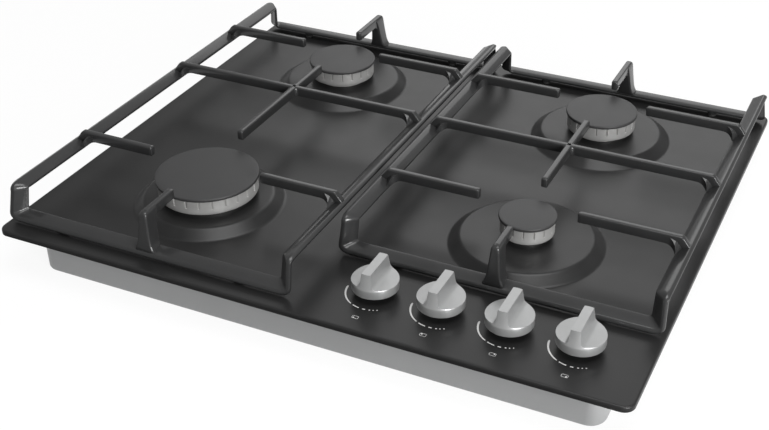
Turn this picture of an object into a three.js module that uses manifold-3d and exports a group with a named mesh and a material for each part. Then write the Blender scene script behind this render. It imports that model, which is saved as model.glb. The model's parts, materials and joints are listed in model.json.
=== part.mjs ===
// A built-in gas cooktop with four burners, sized for a 600 mm kitchen unit.
//
// Millimetres, +Z up, X along the width, Y from the front (-Y, the side with the knobs) to the
// rear. The origin is under the middle of the burner box, on its floor, so the underside is z = 0.
// An enamelled steel tray closes a galvanised box. The box holds the taps, the gas rail and the
// pipes. Burners stand in pressed dishes of the tray, and two cast pan supports stand over them.

import * as THREE from 'three';
import { mergeVertices } from 'three/addons/utils/BufferGeometryUtils.js';
import Module from 'manifold-3d';

const wasm = await Module();
wasm.setup();

// ---- Driving dimensions, mm -------------------------------------------------------------------

// Tray
const trayWidth = 600;
const trayDepth = 510;
const trayCorner = 10;
const traySheet = 1.2;
const rimHeight = 5;
const rimRounding = 1.6;
const dishBaseRadius = 70;
const dishTopRadius = 61;
const dishHeight = 8.5;

// Burner box under the tray
const boxSideSetback = 27;
const boxEndSetback = 20;
const boxHeight = 48;
const boxCorner = 15;
const boxSheet = 1;
const boxFlange = 7;
const boxFold = 3;
const ventLength = 46;
const ventWidth = 5;
const ventPitch = 16;
const ventRows = 4;

// Foam seal between the rim and the worktop
const sealWidth = 9;
const sealInset = 2.4;

// Burners
const burnerSpread = 298;
const rearBurnerY = 138;
const largeBurnerY = -133;
const smallBurnerY = -77;
const largeCapRadius = 48.5;
const mediumCapRadius = 36;
const smallCapRadius = 26.2;
const capThickness = 3.2;
const capCrown = 0.5;
const crownHeight = 14;
const crownInset = 1.6;
const crownWall = 5;
const crownFloor = 3;
const portWidth = 1.8;
const portDepth = 8;
const crownLift = 5;
const cupInset = 9.5;
const cupStep = 3;
const cupWall = 2.4;
const cupFlange = 4.6;
const cupDepth = 32;
const jetRadius = 1.2;
const spigotDepth = 4;

// Spark electrodes and flame sensors beside each crown
const electrodeRadius = 2.2;
const electrodeCollar = 3.4;
const sensorRadius = 1.6;
const sensorCollar = 2.8;
const igniterTail = 18;
const collarThickness = 1.5;
const igniterInset = 3.2;
const electrodeBearing = 112;
const sensorBearing = 68;

// Cast pan supports: a folded angle strip, with its inner edge as the datum
const gridGap = 4.9;
const gridSideMargin = 2;
const gridRearY = 226.5;
const leftGridFrontY = -226.5;
const rightGridFrontY = -149.5;
const stripHigh = 32.1;
const stripFrontLow = 10.7;
const stripRearLow = 8.8;
const stripWidth = 11.7;
const frontLegTop = 13.5;
const rearLegTop = 11;
const legFootWidth = 15;
const frontSplay = 4;
const rearSplay = 0;
const stripLowWidth = 12.4;
const stripThickness = 3.2;
const stripFlange = 3.9;
const flangeFall = 39;
const sideTilt = 21;
const legTurn = 47;
const frontTilt = 18;
const rearTilt = 0;
const foldReach = 3;
const foldSteps = 4;
const frontMitre = 0.15;
const rearMitre = 0.3;
const footMitre = 0.5;
const legDrop = 0.25;
const barTop = 45;
const barHeight = 9.5;
const barWidth = 6;
const barBevel = 1.4;
const crossBarY = 33;
const rootSlope = 6.5;
const rootFillet = 8;
const crossingWeb = 5.4;
const prongOuter = 11.6;
const prongLean = 3.6;
const prongDepth = 15.5;
const prongFootHalf = 9.4;
const largeSideReach = 59;
const mediumSideReach = 46;
const smallSideReach = 46;
const largeLongReach = 59;
const mediumLongReach = 50;
const smallLongReach = 40;
const largeProngReach = 56;
const mediumProngReach = 39;
const smallProngReach = 44;

// Rubber feet of the pan supports
const footRadius = 4.5;
const footPad = 3;
const footBoss = 0.6;
const footStem = 2.4;
const footStemLength = 1.6;
const footInset = 4.8;
const footFromCorner = 40;

// Control knobs and taps
const knobCount = 4;
const knobPitch = 60.6;
const knobFromSide = 32.4;
const knobFromFront = 35.1;
const knobRadius = 20.6;
const knobTopRadius = 17.4;
const knobHeight = 22.4;
const knobSkirt = 9.2;
const knobFloat = 6.7;
const knobTravel = 3.5;
const knobWall = 2;
const knobHub = 6;
const bladeTop = 8.2;
const bladeFoot = 13.2;
const skirtFall = 1.4;
const spindleRadius = 4;
const spindleNose = 3;
const tongueWidth = 7;
const tongueThickness = 2.6;
const tongueLength = 8;
const plugRadius = 6.5;
const plugHeight = 17;
const plugSlotDepth = 13;
const tapWidth = 22;
const tapForward = 20;
const tapBackward = 13;
const tapHeight = 22;
const tapShoulder = 3;
const tapLift = 12;

// Gas rail, pipes and electrics inside the box
const railRadius = 7;
const railBore = 5;
const railForward = 15.5;
const railZ = 9.5;
const railSideInset = 10;
const railBend = 12;
const inletInset = 29;
const inletJog = 45;
const railNut = 11;
const railNutLength = 7;
const railTail = 12;
const pipeRadius = 4;
const pipeZ = 27;
const pipeSides = 8;
const pipeLead = 20;
const pipeBend = 8;
const pipeTurnY = 60;
const pipeAside = 109;
const generatorSize = [62, 36, 26];
const generatorX = -40;
const generatorY = -60;
const generatorEar = 7;
const glandFromSide = 73;
const glandZ = 22;
const glandRadius = 9;
const glandBore = 3.6;
const glandLength = 12;
const glandThread = 6.5;

// Clearances
const seatGap = 0.1;
const gap = 0.3;
const rotaryGap = 0.1;
const holeGap = 0.6;

// ---- Derived places ---------------------------------------------------------------------------

const boxWidth = trayWidth - 2 * boxSideSetback;
const boxDepth = trayDepth - 2 * boxEndSetback;
const trayTop = boxHeight;
const dishTop = trayTop + dishHeight;
const rimFoot = trayTop - rimHeight;
const burnerX = burnerSpread / 2;
const crownBase = dishTop + crownLift;
const crownTop = crownBase + crownHeight;
const trayUnderside = trayTop - traySheet;
const knobFirstX = boxWidth / 2 - knobFromSide - (knobCount - 1) * knobPitch;
const knobY = knobFromFront - boxDepth / 2;
const railY = knobY - railForward;
const railSideX = boxWidth / 2 - railSideInset;
const inletX = boxWidth / 2 - inletInset;
const glandX = glandFromSide - boxWidth / 2;

const burners = [
  { name: 'front_left', x: -burnerX, y: largeBurnerY, cap: largeCapRadius, ports: 24, rounds: 36 },
  { name: 'rear_left', x: -burnerX, y: rearBurnerY, cap: mediumCapRadius, ports: 20, rounds: 32 },
  { name: 'front_right', x: burnerX, y: smallBurnerY, cap: smallCapRadius, ports: 16, rounds: 28 },
  { name: 'rear_right', x: burnerX, y: rearBurnerY, cap: mediumCapRadius, ports: 20, rounds: 32 },
];

// ---- Materials --------------------------------------------------------------------------------

const paint = (color, roughness, metalness) => () =>
  new THREE.MeshStandardMaterial({ color, roughness, metalness });
const enamel = paint(0x2b2b2c, 0.35, 0.2);
const castIron = paint(0x1f2021, 0.6, 0.3);
const galvanised = paint(0x8f9293, 0.4, 0.9);
const aluminium = paint(0xb9bcbf, 0.35, 0.95);
const capEnamel = paint(0x262627, 0.4, 0.1);
const knobPaint = paint(0xc3c6c7, 0.4, 0.6);
const brass = paint(0xb5974e, 0.35, 0.9);
const steel = paint(0x9a9c9e, 0.35, 0.95);
const ceramic = paint(0xe9e5da, 0.5, 0);
const rubber = paint(0x161616, 0.9, 0);
const foam = paint(0x3a3b3c, 0.95, 0);
const plastic = paint(0x2e3033, 0.6, 0);

const vertical = new THREE.Vector3(0, 0, 1);
const leftOf = (heading) => new THREE.Vector3(-heading.y, heading.x, 0);

// ---- Solids -----------------------------------------------------------------------------------

// A closed three.js geometry as a solid, with its faces turned outwards.
function solidOf(geometry) {
  const bare = geometry.index ? geometry.clone() : geometry;
  bare.deleteAttribute('normal');
  bare.deleteAttribute('uv');
  const welded = mergeVertices(bare, 1e-4);
  const vertProperties = Float32Array.from(welded.attributes.position.array);
  const triVerts = Uint32Array.from(welded.index.array);
  const corner = (i) => new THREE.Vector3().fromArray(vertProperties, 3 * triVerts[i]);
  let volume = 0;
  for (let i = 0; i < triVerts.length; i += 3) {
    volume += corner(i).dot(corner(i + 1).cross(corner(i + 2)));
  }
  if (volume < 0) {
    for (let i = 0; i < triVerts.length; i += 3) {
      [triVerts[i], triVerts[i + 1]] = [triVerts[i + 1], triVerts[i]];
    }
  }
  return new wasm.Manifold(new wasm.Mesh({ numProp: 3, vertProperties, triVerts }));
}

// A solid as a geometry for a mesh.
function geometryOf(solid) {
  const { vertProperties, triVerts } = solid.getMesh();
  const geometry = new THREE.BufferGeometry();
  geometry.setAttribute('position', new THREE.BufferAttribute(vertProperties, 3));
  geometry.setIndex(new THREE.BufferAttribute(triVerts, 1));
  geometry.computeVertexNormals();
  return geometry;
}

const united = (solids) => solids.reduce((whole, piece) => whole.add(piece));
const cutBy = (solid, tools) => tools.reduce((rest, tool) => rest.subtract(tool), solid);

// A box between two corners.
function block(low, high) {
  const size = high.map((value, i) => value - low[i]);
  const middle = high.map((value, i) => (value + low[i]) / 2);
  return solidOf(new THREE.BoxGeometry(...size).translate(...middle));
}

// A solid turned about the vertical through (x, y) from a profile of [radius, z] points. The
// profile closes on the axis or on itself.
function turned(profile, x, y, rounds) {
  const points = profile.map(([radius, z]) => new THREE.Vector2(radius, z));
  if (points[0].x > 0) {
    points.push(points[0].clone());
  }
  return solidOf(new THREE.LatheGeometry(points, rounds).rotateX(Math.PI / 2).translate(x, y, 0));
}

const disc = (radius, low, high, x, y, rounds = 24) =>
  turned([[0, low], [radius, low], [radius, high], [0, high]], x, y, rounds);

// A rectangle with round corners, centred on the origin.
function roundedRectangle(width, depth, radius) {
  const x = width / 2;
  const y = depth / 2;
  const shape = new THREE.Shape();
  shape.moveTo(-x + radius, -y);
  shape.lineTo(x - radius, -y);
  shape.absarc(x - radius, -y + radius, radius, -Math.PI / 2, 0);
  shape.absarc(x - radius, y - radius, radius, 0, Math.PI / 2);
  shape.absarc(-x + radius, y - radius, radius, Math.PI / 2, Math.PI);
  shape.absarc(-x + radius, -y + radius, radius, Math.PI, 1.5 * Math.PI);
  return shape;
}

// A closed outline of points, as a shape.
const outline = (points) => new THREE.Shape(points.map(([x, y]) => new THREE.Vector2(x, y)));

// A shape drawn in plan and raised from one height to another.
const raised = (shape, low, high) =>
  new THREE.ExtrudeGeometry(shape, { depth: high - low, bevelEnabled: false, curveSegments: 2 })
    .translate(0, 0, low);

// A rectangular slab whose corners and one rim are round: the rim rounding is at its top or foot.
function softSlab(width, depth, corner, low, high, rounding, atTop, steps = 2) {
  const rings = [];
  for (let i = 0; i <= steps; i += 1) {
    const turn = (i / steps) * (Math.PI / 2);
    const inset = rounding * (1 - Math.cos(turn));
    const rise = rounding * (1 - Math.sin(turn));
    rings.push({ inset, z: atTop ? high - rise : low + rise });
  }
  const plain = { inset: 0, z: atTop ? low : high };
  const loops = [plain, ...rings].map(({ inset, z }) => {
    const edge = roundedRectangle(width - 2 * inset, depth - 2 * inset, corner - inset);
    return edge.getPoints(2).slice(0, -1).map((point) => new THREE.Vector3(point.x, point.y, z));
  });
  return solidOf(lofted(loops));
}

// A closed skin over a stack of convex loops with equal counts, capped flat at both ends.
function lofted(loops) {
  const count = loops[0].length;
  const positions = loops.flat().flatMap((point) => point.toArray());
  const index = [];
  for (let ring = 0; ring < loops.length - 1; ring += 1) {
    for (let i = 0; i < count; i += 1) {
      const next = (i + 1) % count;
      const a = ring * count + i;
      const b = ring * count + next;
      index.push(a, b, b + count, a, b + count, a + count);
    }
  }
  const last = (loops.length - 1) * count;
  for (let i = 1; i < count - 1; i += 1) {
    index.push(i + 1, i, 0, last, last + i, last + i + 1);
  }
  return indexed(positions, index);
}

function indexed(positions, index) {
  const geometry = new THREE.BufferGeometry();
  geometry.setAttribute('position', new THREE.Float32BufferAttribute(positions, 3));
  geometry.setIndex(index);
  return geometry;
}

// A level run of pipe through the corners of a route, each corner bent to the same radius.
function bentRoute(corners, bend, steps = 4) {
  const path = [corners[0]];
  for (let i = 1; i < corners.length - 1; i += 1) {
    const [before, corner, after] = corners.slice(i - 1, i + 2);
    const inward = before.clone().sub(corner).setLength(bend).add(corner);
    const outward = after.clone().sub(corner).setLength(bend).add(corner);
    path.push(...new THREE.QuadraticBezierCurve3(inward, corner, outward).getPoints(steps));
  }
  path.push(corners.at(-1));
  return path;
}

// A round bar along a level route.
function roundAlong(path, radius, sides) {
  const loops = path.map((point, i) => {
    const before = path[Math.max(i - 1, 0)];
    const after = path[Math.min(i + 1, path.length - 1)];
    const arriving = point.clone().sub(before).normalize();
    const leaving = after.clone().sub(point).normalize();
    const across = leftOf(arriving.add(leaving).normalize());
    const widen = i > 0 && i < path.length - 1 ? 1 / Math.max(across.dot(leftOf(leaving)), 0.5) : 1;
    return Array.from({ length: sides }, (_, side) => {
      const turn = (2 * Math.PI * side) / sides;
      return point.clone()
        .addScaledVector(across, -radius * widen * Math.cos(turn))
        .addScaledVector(vertical, radius * Math.sin(turn));
    });
  });
  return solidOf(lofted(loops));
}

// ---- The scene --------------------------------------------------------------------------------

const cooktop = new THREE.Group();

function addPiece(name, solid, material, parent = cooktop) {
  const mesh = new THREE.Mesh(geometryOf(solid), material());
  mesh.name = name;
  parent.add(mesh);
}

// ---- Pan supports -----------------------------------------------------------------------------

const radians = THREE.MathUtils.degToRad;

// The strip's section as [outward from the inner edge, above the top face]: a flat face, then a
// short flange that falls away outside the ridge.
function stripSection(width) {
  const fall = radians(flangeFall);
  const flange = [width + stripFlange * Math.cos(fall), -stripFlange * Math.sin(fall)];
  return [
    [0, -0.8],
    [0.8, 0],
    [width, 0],
    flange,
    [flange[0] - stripThickness * Math.sin(fall), flange[1] - stripThickness * Math.cos(fall)],
    [width - stripThickness * Math.tan(fall / 2), -stripThickness],
    [0.5, -stripThickness],
  ];
}

// The strip's section standing at a place. It is skewed along the strip by this much for each
// millimetre across the strip.
function sectionAt(place, outward, along, width, skew) {
  const out = new THREE.Vector3(...outward);
  const onward = new THREE.Vector3(...along);
  const basis = new THREE.Matrix4().makeBasis(out, onward, out.clone().cross(onward));
  return stripSection(width).map(([across, up]) => new THREE.Vector3(across, skew * across, up)
    .applyMatrix4(basis)
    .add(new THREE.Vector3(...place)));
}

// The sections of a fold between two sections, each point on a curve round its own corner.
function foldBetween(from, to, cornerOf) {
  const shares = Array.from({ length: foldSteps + 1 }, (_, i) => i / foldSteps);
  const curves = from.map((point, i) =>
    new THREE.QuadraticBezierCurve3(point, cornerOf(point, to[i]), to[i]));
  return shares.map((share) => curves.map((curve) => curve.getPoint(share)));
}

// One corner of a support, drawn with the outside of the corner towards +X and +Y. The strip comes
// along the high side, folds down into the leg and folds out again along the low side.
function cornerPlaces(sideX, { endY, lowHeight, lowTilt, splay, legTop, topMitre }) {
  const [side, leg, low] = [sideTilt, legTurn, lowTilt].map(radians);
  const across = [Math.cos(leg), Math.sin(leg), 0];
  const legY = endY - splay;
  const [highZ, lowZ] = [trayTop + stripHigh, trayTop + lowHeight];
  const sideEnd = sectionAt([sideX, legY - foldReach, highZ], [Math.cos(side), 0, Math.sin(side)],
    [0, 1, 0], stripWidth, topMitre);
  const legHead = sectionAt([sideX, legY, highZ - foldReach], across, [0, 0, -1], legTop, 0);
  const legFoot = sectionAt([sideX, endY, lowZ + foldReach], across, [0, 0, -1], legFootWidth,
    legDrop);
  const lowEnd = sectionAt([sideX - foldReach, endY, lowZ], [0, Math.cos(low), -Math.sin(low)],
    [-1, 0, 0], stripLowWidth, -footMitre);
  return [
    ...foldBetween(sideEnd, legHead, (from, to) =>
      new THREE.Vector3((from.x + to.x) / 2, to.y, from.z)),
    ...foldBetween(legFoot, lowEnd, (from, to) =>
      new THREE.Vector3(from.x, (from.y + to.y) / 2, to.z)),
  ];
}

// The closed ring of a support: four corners, joined by straight strips.
function ringSolid(box) {
  const middle = (box.left + box.right) / 2;
  const sideX = (box.right - box.left) / 2;
  const front = {
    endY: -box.front,
    lowHeight: stripFrontLow,
    lowTilt: frontTilt,
    splay: frontSplay,
    legTop: frontLegTop,
    topMitre: frontMitre,
  };
  const rear = {
    endY: box.rear,
    lowHeight: stripRearLow,
    lowTilt: rearTilt,
    splay: rearSplay,
    legTop: rearLegTop,
    topMitre: rearMitre,
  };
  const corner = (signX, signY, end) => cornerPlaces(sideX, end).map((loop) =>
    loop.map(({ x, y, z }) => new THREE.Vector3(middle + signX * x, signY * y, z)));
  const loops = [
    ...corner(-1, -1, front),
    ...corner(1, -1, front).reverse(),
    ...corner(1, 1, rear),
    ...corner(-1, 1, rear).reverse(),
  ];
  const count = loops[0].length;
  const index = [];
  loops.forEach((_, ring) => {
    const here = ring * count;
    const there = ((ring + 1) % loops.length) * count;
    for (let i = 0; i < count; i += 1) {
      const next = (i + 1) % count;
      index.push(here + i, here + next, there + next, here + i, there + next, there + i);
    }
  });
  return solidOf(indexed(loops.flat().flatMap((point) => point.toArray()), index));
}

// A cast bar: its side view, drawn as [along, height above the tray] from (x, y) towards the
// heading, given the bar's width and bevelled top edges.
function castBar(x, y, heading, sideView) {
  const along = new THREE.Vector3(...heading, 0);
  const across = new THREE.Vector3().crossVectors(along, vertical);
  const lengths = sideView.map(([reach]) => reach);
  const half = barWidth / 2;
  const web = raised(outline(sideView), -barWidth, barWidth)
    .applyMatrix4(new THREE.Matrix4().makeBasis(along, vertical, across));
  const beam = raised(outline([
    [-half, -1],
    [half, -1],
    [half, barTop - barBevel],
    [half - barBevel, barTop],
    [-half + barBevel, barTop],
    [-half, barTop - barBevel],
  ]), Math.min(...lengths) - 1, Math.max(...lengths) + 1)
    .applyMatrix4(new THREE.Matrix4().makeBasis(across.clone().negate(), vertical, along));
  return solidOf(web).intersect(solidOf(beam)).translate([x, y, trayTop]);
}

const barFoot = barTop - barHeight;
const tiltRise = stripWidth * Math.sin(radians(sideTilt));
const ridgeHeight = stripHigh + tiltRise;
const sideFlange = stripFlange * Math.cos(radians(flangeFall - sideTilt));
const stripReach = sideFlange + stripWidth * Math.cos(radians(sideTilt));

// The side view of a bar's rooted end: it slopes down outwards to the strip's ridge, and its
// underside runs into the strip's inner edge.
const rootView = [
  [stripReach + 6, barFoot],
  [stripReach + 2.4, barFoot - 1],
  [stripReach + 0.4, stripHigh - 0.6],
  [stripReach - 2, stripHigh - 1],
  [sideFlange - 0.3, ridgeHeight - 2],
  [sideFlange - 0.3, ridgeHeight + 0.9],
  [sideFlange + 0.7, barTop - rootSlope],
  [sideFlange + rootSlope, barTop],
];

// The free end of a bar that is this long.
const tipView = (length) => [
  [length - 1.5, barTop],
  [length, barTop - 1.8],
  [length, barFoot + 1],
  [length - 1, barFoot],
];

// Fillets on both sides of a bar's root, drawn in plan against the strip.
function rootGusset(outerX, y, towards) {
  const reach = (share) => {
    const turn = (share * Math.PI) / 2;
    return [stripReach - 1 + (rootFillet + 1) * (1 - Math.sin(turn)), rootFillet * (1 - Math.cos(turn))];
  };
  const half = barWidth / 2;
  const steps = [0, 1 / 3, 2 / 3, 1].map(reach);
  const side = (sign) => steps.map(([x, flare]) => [towards * x, sign * (half + flare - 0.2)]);
  const inside = [[towards * (stripReach - 4), half + rootFillet - 0.2],
    [towards * (stripReach - 4), -half - rootFillet + 0.2]];
  const shape = outline([...side(1), ...inside, ...side(-1).reverse()]);
  const low = trayTop + stripHigh - 1.8;
  return solidOf(raised(shape, low, trayTop + barFoot + 2).translate(outerX, y, 0));
}

// A finger from the strip at outerX towards the burner, ending at tipX.
function finger(outerX, tipX, y) {
  const towards = Math.sign(tipX - outerX);
  const view = [...rootView, ...tipView(Math.abs(tipX - outerX))];
  return castBar(outerX, y, [towards, 0], view).add(rootGusset(outerX, y, towards));
}

// The bar that crosses the whole support, rooted at both ends.
function crossBar(left, right, y) {
  const length = right - left;
  const farView = rootView.map(([along, height]) => [length - along, height]).reverse();
  return united([
    castBar(left, y, [1, 0], [...rootView, ...farView]),
    rootGusset(left, y, 1),
    rootGusset(right, y, -1),
  ]);
}

// The free bar that runs front to rear over the cross bar.
function longBar(x, frontY, rearY) {
  const length = rearY - frontY;
  const startView = tipView(length).map(([along, height]) => [length - along, height]).reverse();
  return castBar(x, frontY, [0, 1], [...startView, ...tipView(length)]);
}

// The upright of a prong, from its foot on the low strip to its top. Each row is a level above
// the tray, the lean of the outer face, the depth from there inwards and half the width.
const prongLevels = [
  [stripRearLow - 2.4, 0.2, 7.6, prongFootHalf + 0.6],
  [stripRearLow + 0.6, 0, 0.86 * prongDepth, prongFootHalf],
  [stripFrontLow + 1.8, 0.1 * prongLean, 0.92 * prongDepth, 7.8],
  [17, 0.25 * prongLean, 0.96 * prongDepth, 6.6],
  [25, 0.5 * prongLean, prongDepth, 5.6],
  [barFoot - 2, 0.8 * prongLean, 1.04 * prongDepth, 4.8],
  [barTop - 3.4, prongLean, 1.16 * prongDepth, 4],
  [barTop - 1.2, prongLean + 1, 1.12 * prongDepth, 3.1],
  [barTop, prongLean + 3, prongDepth, 2.2],
];

function prongPost(x, startY, towards) {
  const loop = ([height, lean, depth, half]) => {
    const ends = [startY + towards * lean, startY + towards * (lean + depth)];
    const front = Math.min(...ends);
    const rear = Math.max(...ends);
    const bevel = Math.min(barBevel, half / 2);
    return [
      [x - half + bevel, front], [x + half - bevel, front], [x + half, front + bevel],
      [x + half, rear - bevel], [x + half - bevel, rear], [x - half + bevel, rear],
      [x - half, rear - bevel], [x - half, front + bevel],
    ].map(([px, py]) => new THREE.Vector3(px, py, trayTop + height));
  };
  return solidOf(lofted(prongLevels.map(loop)));
}

// A prong that rises from the low strip, whose inner edge is at edgeY, and reaches in to tipY.
function prong(x, edgeY, tipY) {
  const towards = Math.sign(tipY - edgeY);
  const length = Math.abs(tipY - edgeY) + prongOuter;
  const inside = prongLean + prongDepth;
  const view = [
    [prongLean + 5, barTop],
    ...tipView(length),
    [inside + 5, barFoot],
    [inside + 1.5, barFoot - 1.5],
    [inside - 0.5, barFoot - 5],
    [prongLean + 5, barFoot - 5],
  ];
  const startY = edgeY - towards * prongOuter;
  return castBar(x, startY, [0, towards], view).add(prongPost(x, startY, towards));
}

const trayHalf = trayWidth / 2;
const supports = [
  {
    name: 'left',
    outerLeft: -trayHalf + gridSideMargin,
    outerRight: -gridGap / 2,
    front: leftGridFrontY,
    rear: gridRearY,
    burnerX: -burnerX,
    frontBurnerY: largeBurnerY,
    side: largeSideReach,
    long: largeLongReach,
    prong: largeProngReach,
  },
  {
    name: 'right',
    outerLeft: gridGap / 2,
    outerRight: trayHalf - gridSideMargin,
    front: rightGridFrontY,
    rear: gridRearY,
    burnerX,
    frontBurnerY: smallBurnerY,
    side: smallSideReach,
    long: smallLongReach,
    prong: smallProngReach,
  },
];

// The inner edges of a support's side strips.
for (const box of supports) {
  box.left = box.outerLeft + stripReach;
  box.right = box.outerRight - stripReach;
}

// Where a support's four feet stand, under its low strips.
const footPlaces = (box) => [box.front, box.rear].flatMap((edge, row) => {
  const y = edge + (row ? 1 : -1) * footInset;
  return [box.left + footFromCorner, box.right - footFromCorner].map((x) => [x, y]);
});

const footTop = trayTop + seatGap + footPad;
const footBossTop = trayTop + stripRearLow - 2;

for (const box of supports) {
  const x = box.burnerX;
  const rearY = rearBurnerY;
  const pieces = [
    ringSolid(box),
    crossBar(box.outerLeft, box.outerRight, crossBarY),
    longBar(x, box.frontBurnerY + box.long, rearY - mediumLongReach),
    finger(box.outerLeft, x - mediumSideReach, rearY),
    finger(box.outerRight, x + mediumSideReach, rearY),
    finger(box.outerLeft, x - box.side, box.frontBurnerY),
    finger(box.outerRight, x + box.side, box.frontBurnerY),
    prong(x, box.front, box.frontBurnerY - box.prong),
    prong(x, box.rear, rearY + mediumProngReach),
    turned([[0, barFoot + trayTop], [crossingWeb, barFoot + trayTop],
      [crossingWeb, trayTop + barTop - barBevel], [0, trayTop + barTop - barBevel]], x, crossBarY, 8),
    ...footPlaces(box).map(([fx, fy]) =>
      disc(footRadius + footBoss, footTop + gap, footBossTop, fx, fy, 16)),
  ];
  const sockets = footPlaces(box).map(([fx, fy]) =>
    disc(footStem + gap, trayTop, footTop + footStemLength + gap, fx, fy, 12));
  addPiece(`pan_support_${box.name}`, cutBy(united(pieces), sockets), castIron);
}

for (const box of supports) {
  const ends = ['front', 'rear'];
  const sides = ['left', 'right'];
  footPlaces(box).forEach(([x, y], i) => {
    const base = trayTop + seatGap;
    const profile = [
      [0, base],
      [footRadius - 0.6, base],
      [footRadius, base + 0.6],
      [footRadius, footTop],
      [footStem, footTop],
      [footStem, footTop + footStemLength],
      [0, footTop + footStemLength],
    ];
    const end = ends[Math.floor(i / 2)];
    addPiece(`foot_${box.name}_${end}_${sides[i % 2]}`, turned(profile, x, y, 12), rubber);
  });
}

// ---- Tray, box and seal -----------------------------------------------------------------------

const igniterPlace = (burner, bearing) => {
  const reach = burner.cap - crownInset - igniterInset;
  const turn = (bearing * Math.PI) / 180;
  return [burner.x + reach * Math.cos(turn), burner.y + reach * Math.sin(turn)];
};

const knobPlaces = Array.from({ length: knobCount }, (_, i) => [knobFirstX + i * knobPitch, knobY]);

function trayShell() {
  const cone = (inset, foot, top) => (burner) => turned([
    [0, foot],
    [dishBaseRadius - inset, foot],
    [dishBaseRadius - inset, trayTop - inset],
    [dishTopRadius - inset, top],
    [0, top],
  ], burner.x, burner.y, 32);
  const skin = softSlab(trayWidth, trayDepth, trayCorner, rimFoot, trayTop, rimRounding, true);
  const hollow = solidOf(raised(roundedRectangle(trayWidth - 2 * traySheet, trayDepth - 2 * traySheet,
    trayCorner - traySheet), rimFoot - 1, trayUnderside));
  const outer = united([skin, ...burners.map(cone(0, trayUnderside, dishTop))]);
  const inner = united([hollow, ...burners.map(cone(traySheet, trayUnderside - 1, dishTop - traySheet))]);
  const holes = burners.flatMap((burner) => [
    disc(burner.cap - cupInset - cupStep + holeGap, trayTop - 9, dishTop + 9, burner.x, burner.y, 28),
    disc(electrodeRadius + gap, dishTop - 9, dishTop + 9, ...igniterPlace(burner, electrodeBearing), 12),
    disc(sensorRadius + gap, dishTop - 9, dishTop + 9, ...igniterPlace(burner, sensorBearing), 12),
  ]);
  const spindleHoles = knobPlaces.map(([x, y]) =>
    disc(spindleRadius + holeGap, rimFoot, trayTop + 9, x, y, 16));
  return cutBy(outer.subtract(inner), [...holes, ...spindleHoles]);
}

function boxShell() {
  const rimTop = trayUnderside - gap;
  const inner = boxSheet;
  const skin = softSlab(boxWidth, boxDepth, boxCorner, 0, rimTop, boxFold, false);
  const hollow = softSlab(boxWidth - 2 * inner, boxDepth - 2 * inner, boxCorner - inner, inner,
    rimTop + 9, boxFold - inner, false);
  const flange = solidOf(raised(roundedRectangle(boxWidth + 2 * boxFlange, boxDepth + 2 * boxFlange,
    boxCorner + boxFlange), rimTop - boxSheet, rimTop));
  const rear = boxDepth / 2;
  const wallHole = (x, z, radius) => solidOf(new THREE.CylinderGeometry(radius, radius, 20, 16)
    .translate(x, rear, z));
  const vents = [];
  for (let row = 0; row < ventRows; row += 1) {
    for (const side of [-1, 1]) {
      const x = side * (burnerX + ventLength / 4);
      const y = (row - (ventRows - 1) / 2) * ventPitch + crossBarY;
      vents.push(block(
        [x - ventLength / 2, y - ventWidth / 2, -1],
        [x + ventLength / 2, y + ventWidth / 2, boxSheet + boxFold],
      ));
    }
  }
  return cutBy(skin.add(flange), [
    hollow,
    wallHole(inletX, railZ, railRadius + holeGap),
    wallHole(glandX, glandZ, glandThread + gap),
    ...vents,
  ]);
}

function sealStrip() {
  const outerWidth = trayWidth - 2 * (traySheet + sealInset);
  const outerDepth = trayDepth - 2 * (traySheet + sealInset);
  const ring = (inset, low, high) => solidOf(raised(roundedRectangle(outerWidth - 2 * inset,
    outerDepth - 2 * inset, trayCorner - 3), low, high));
  return ring(0, rimFoot, trayUnderside - gap).subtract(ring(sealWidth, rimFoot - 1, trayTop));
}

addPiece('top_plate', trayShell(), enamel);
addPiece('burner_box', boxShell(), galvanised);
addPiece('worktop_seal', sealStrip(), foam);

// ---- Burners ----------------------------------------------------------------------------------

function burnerCup(burner) {
  const flange = burner.cap - cupInset;
  const body = flange - cupStep;
  const top = dishTop + seatGap + cupFlange;
  const floor = dishTop - cupDepth;
  return turned([
    [jetRadius, floor],
    [body - 3, floor],
    [body, floor + 5],
    [body, dishTop + seatGap],
    [flange, dishTop + seatGap],
    [flange, top - 1],
    [flange - 1, top],
    [body - cupWall, top],
    [body - cupWall, floor + 7],
    [body - cupWall - 3, floor + cupWall],
    [jetRadius, floor + cupWall],
  ], burner.x, burner.y, burner.rounds - 8);
}

function burnerCrown(burner) {
  const outer = burner.cap - crownInset;
  const spigot = burner.cap - cupInset - cupStep - cupWall - gap;
  const throat = spigot * 0.4;
  const ring = turned([
    [throat, crownBase],
    [spigot - 2, crownBase],
    [spigot - 2, crownBase - spigotDepth],
    [spigot, crownBase - spigotDepth],
    [spigot, crownBase],
    [outer - 1, crownBase],
    [outer, crownBase + 1],
    [outer, crownTop],
    [outer - crownWall, crownTop],
    [outer - crownWall, crownBase + crownFloor],
    [throat, crownBase + crownFloor],
  ], burner.x, burner.y, burner.rounds);
  const ports = Array.from({ length: burner.ports / 2 }, (_, i) =>
    solidOf(new THREE.BoxGeometry(2 * burner.cap, portWidth, 2 * portDepth)
      .rotateZ((Math.PI * (i + 0.5)) / (burner.ports / 2))
      .translate(burner.x, burner.y, crownTop)));
  const notch = (bearing, radius) => {
    const [x, y] = igniterPlace(burner, bearing);
    const width = radius + 2 * gap;
    const box = new THREE.BoxGeometry(2 * burner.cap, 2 * width, 3 * crownHeight)
      .translate(burner.cap - width, 0, 0)
      .rotateZ((bearing * Math.PI) / 180)
      .translate(x, y, crownBase);
    return solidOf(box);
  };
  const notches = [notch(electrodeBearing, electrodeRadius), notch(sensorBearing, sensorRadius)];
  return cutBy(ring, [...ports, ...notches]);
}

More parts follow.
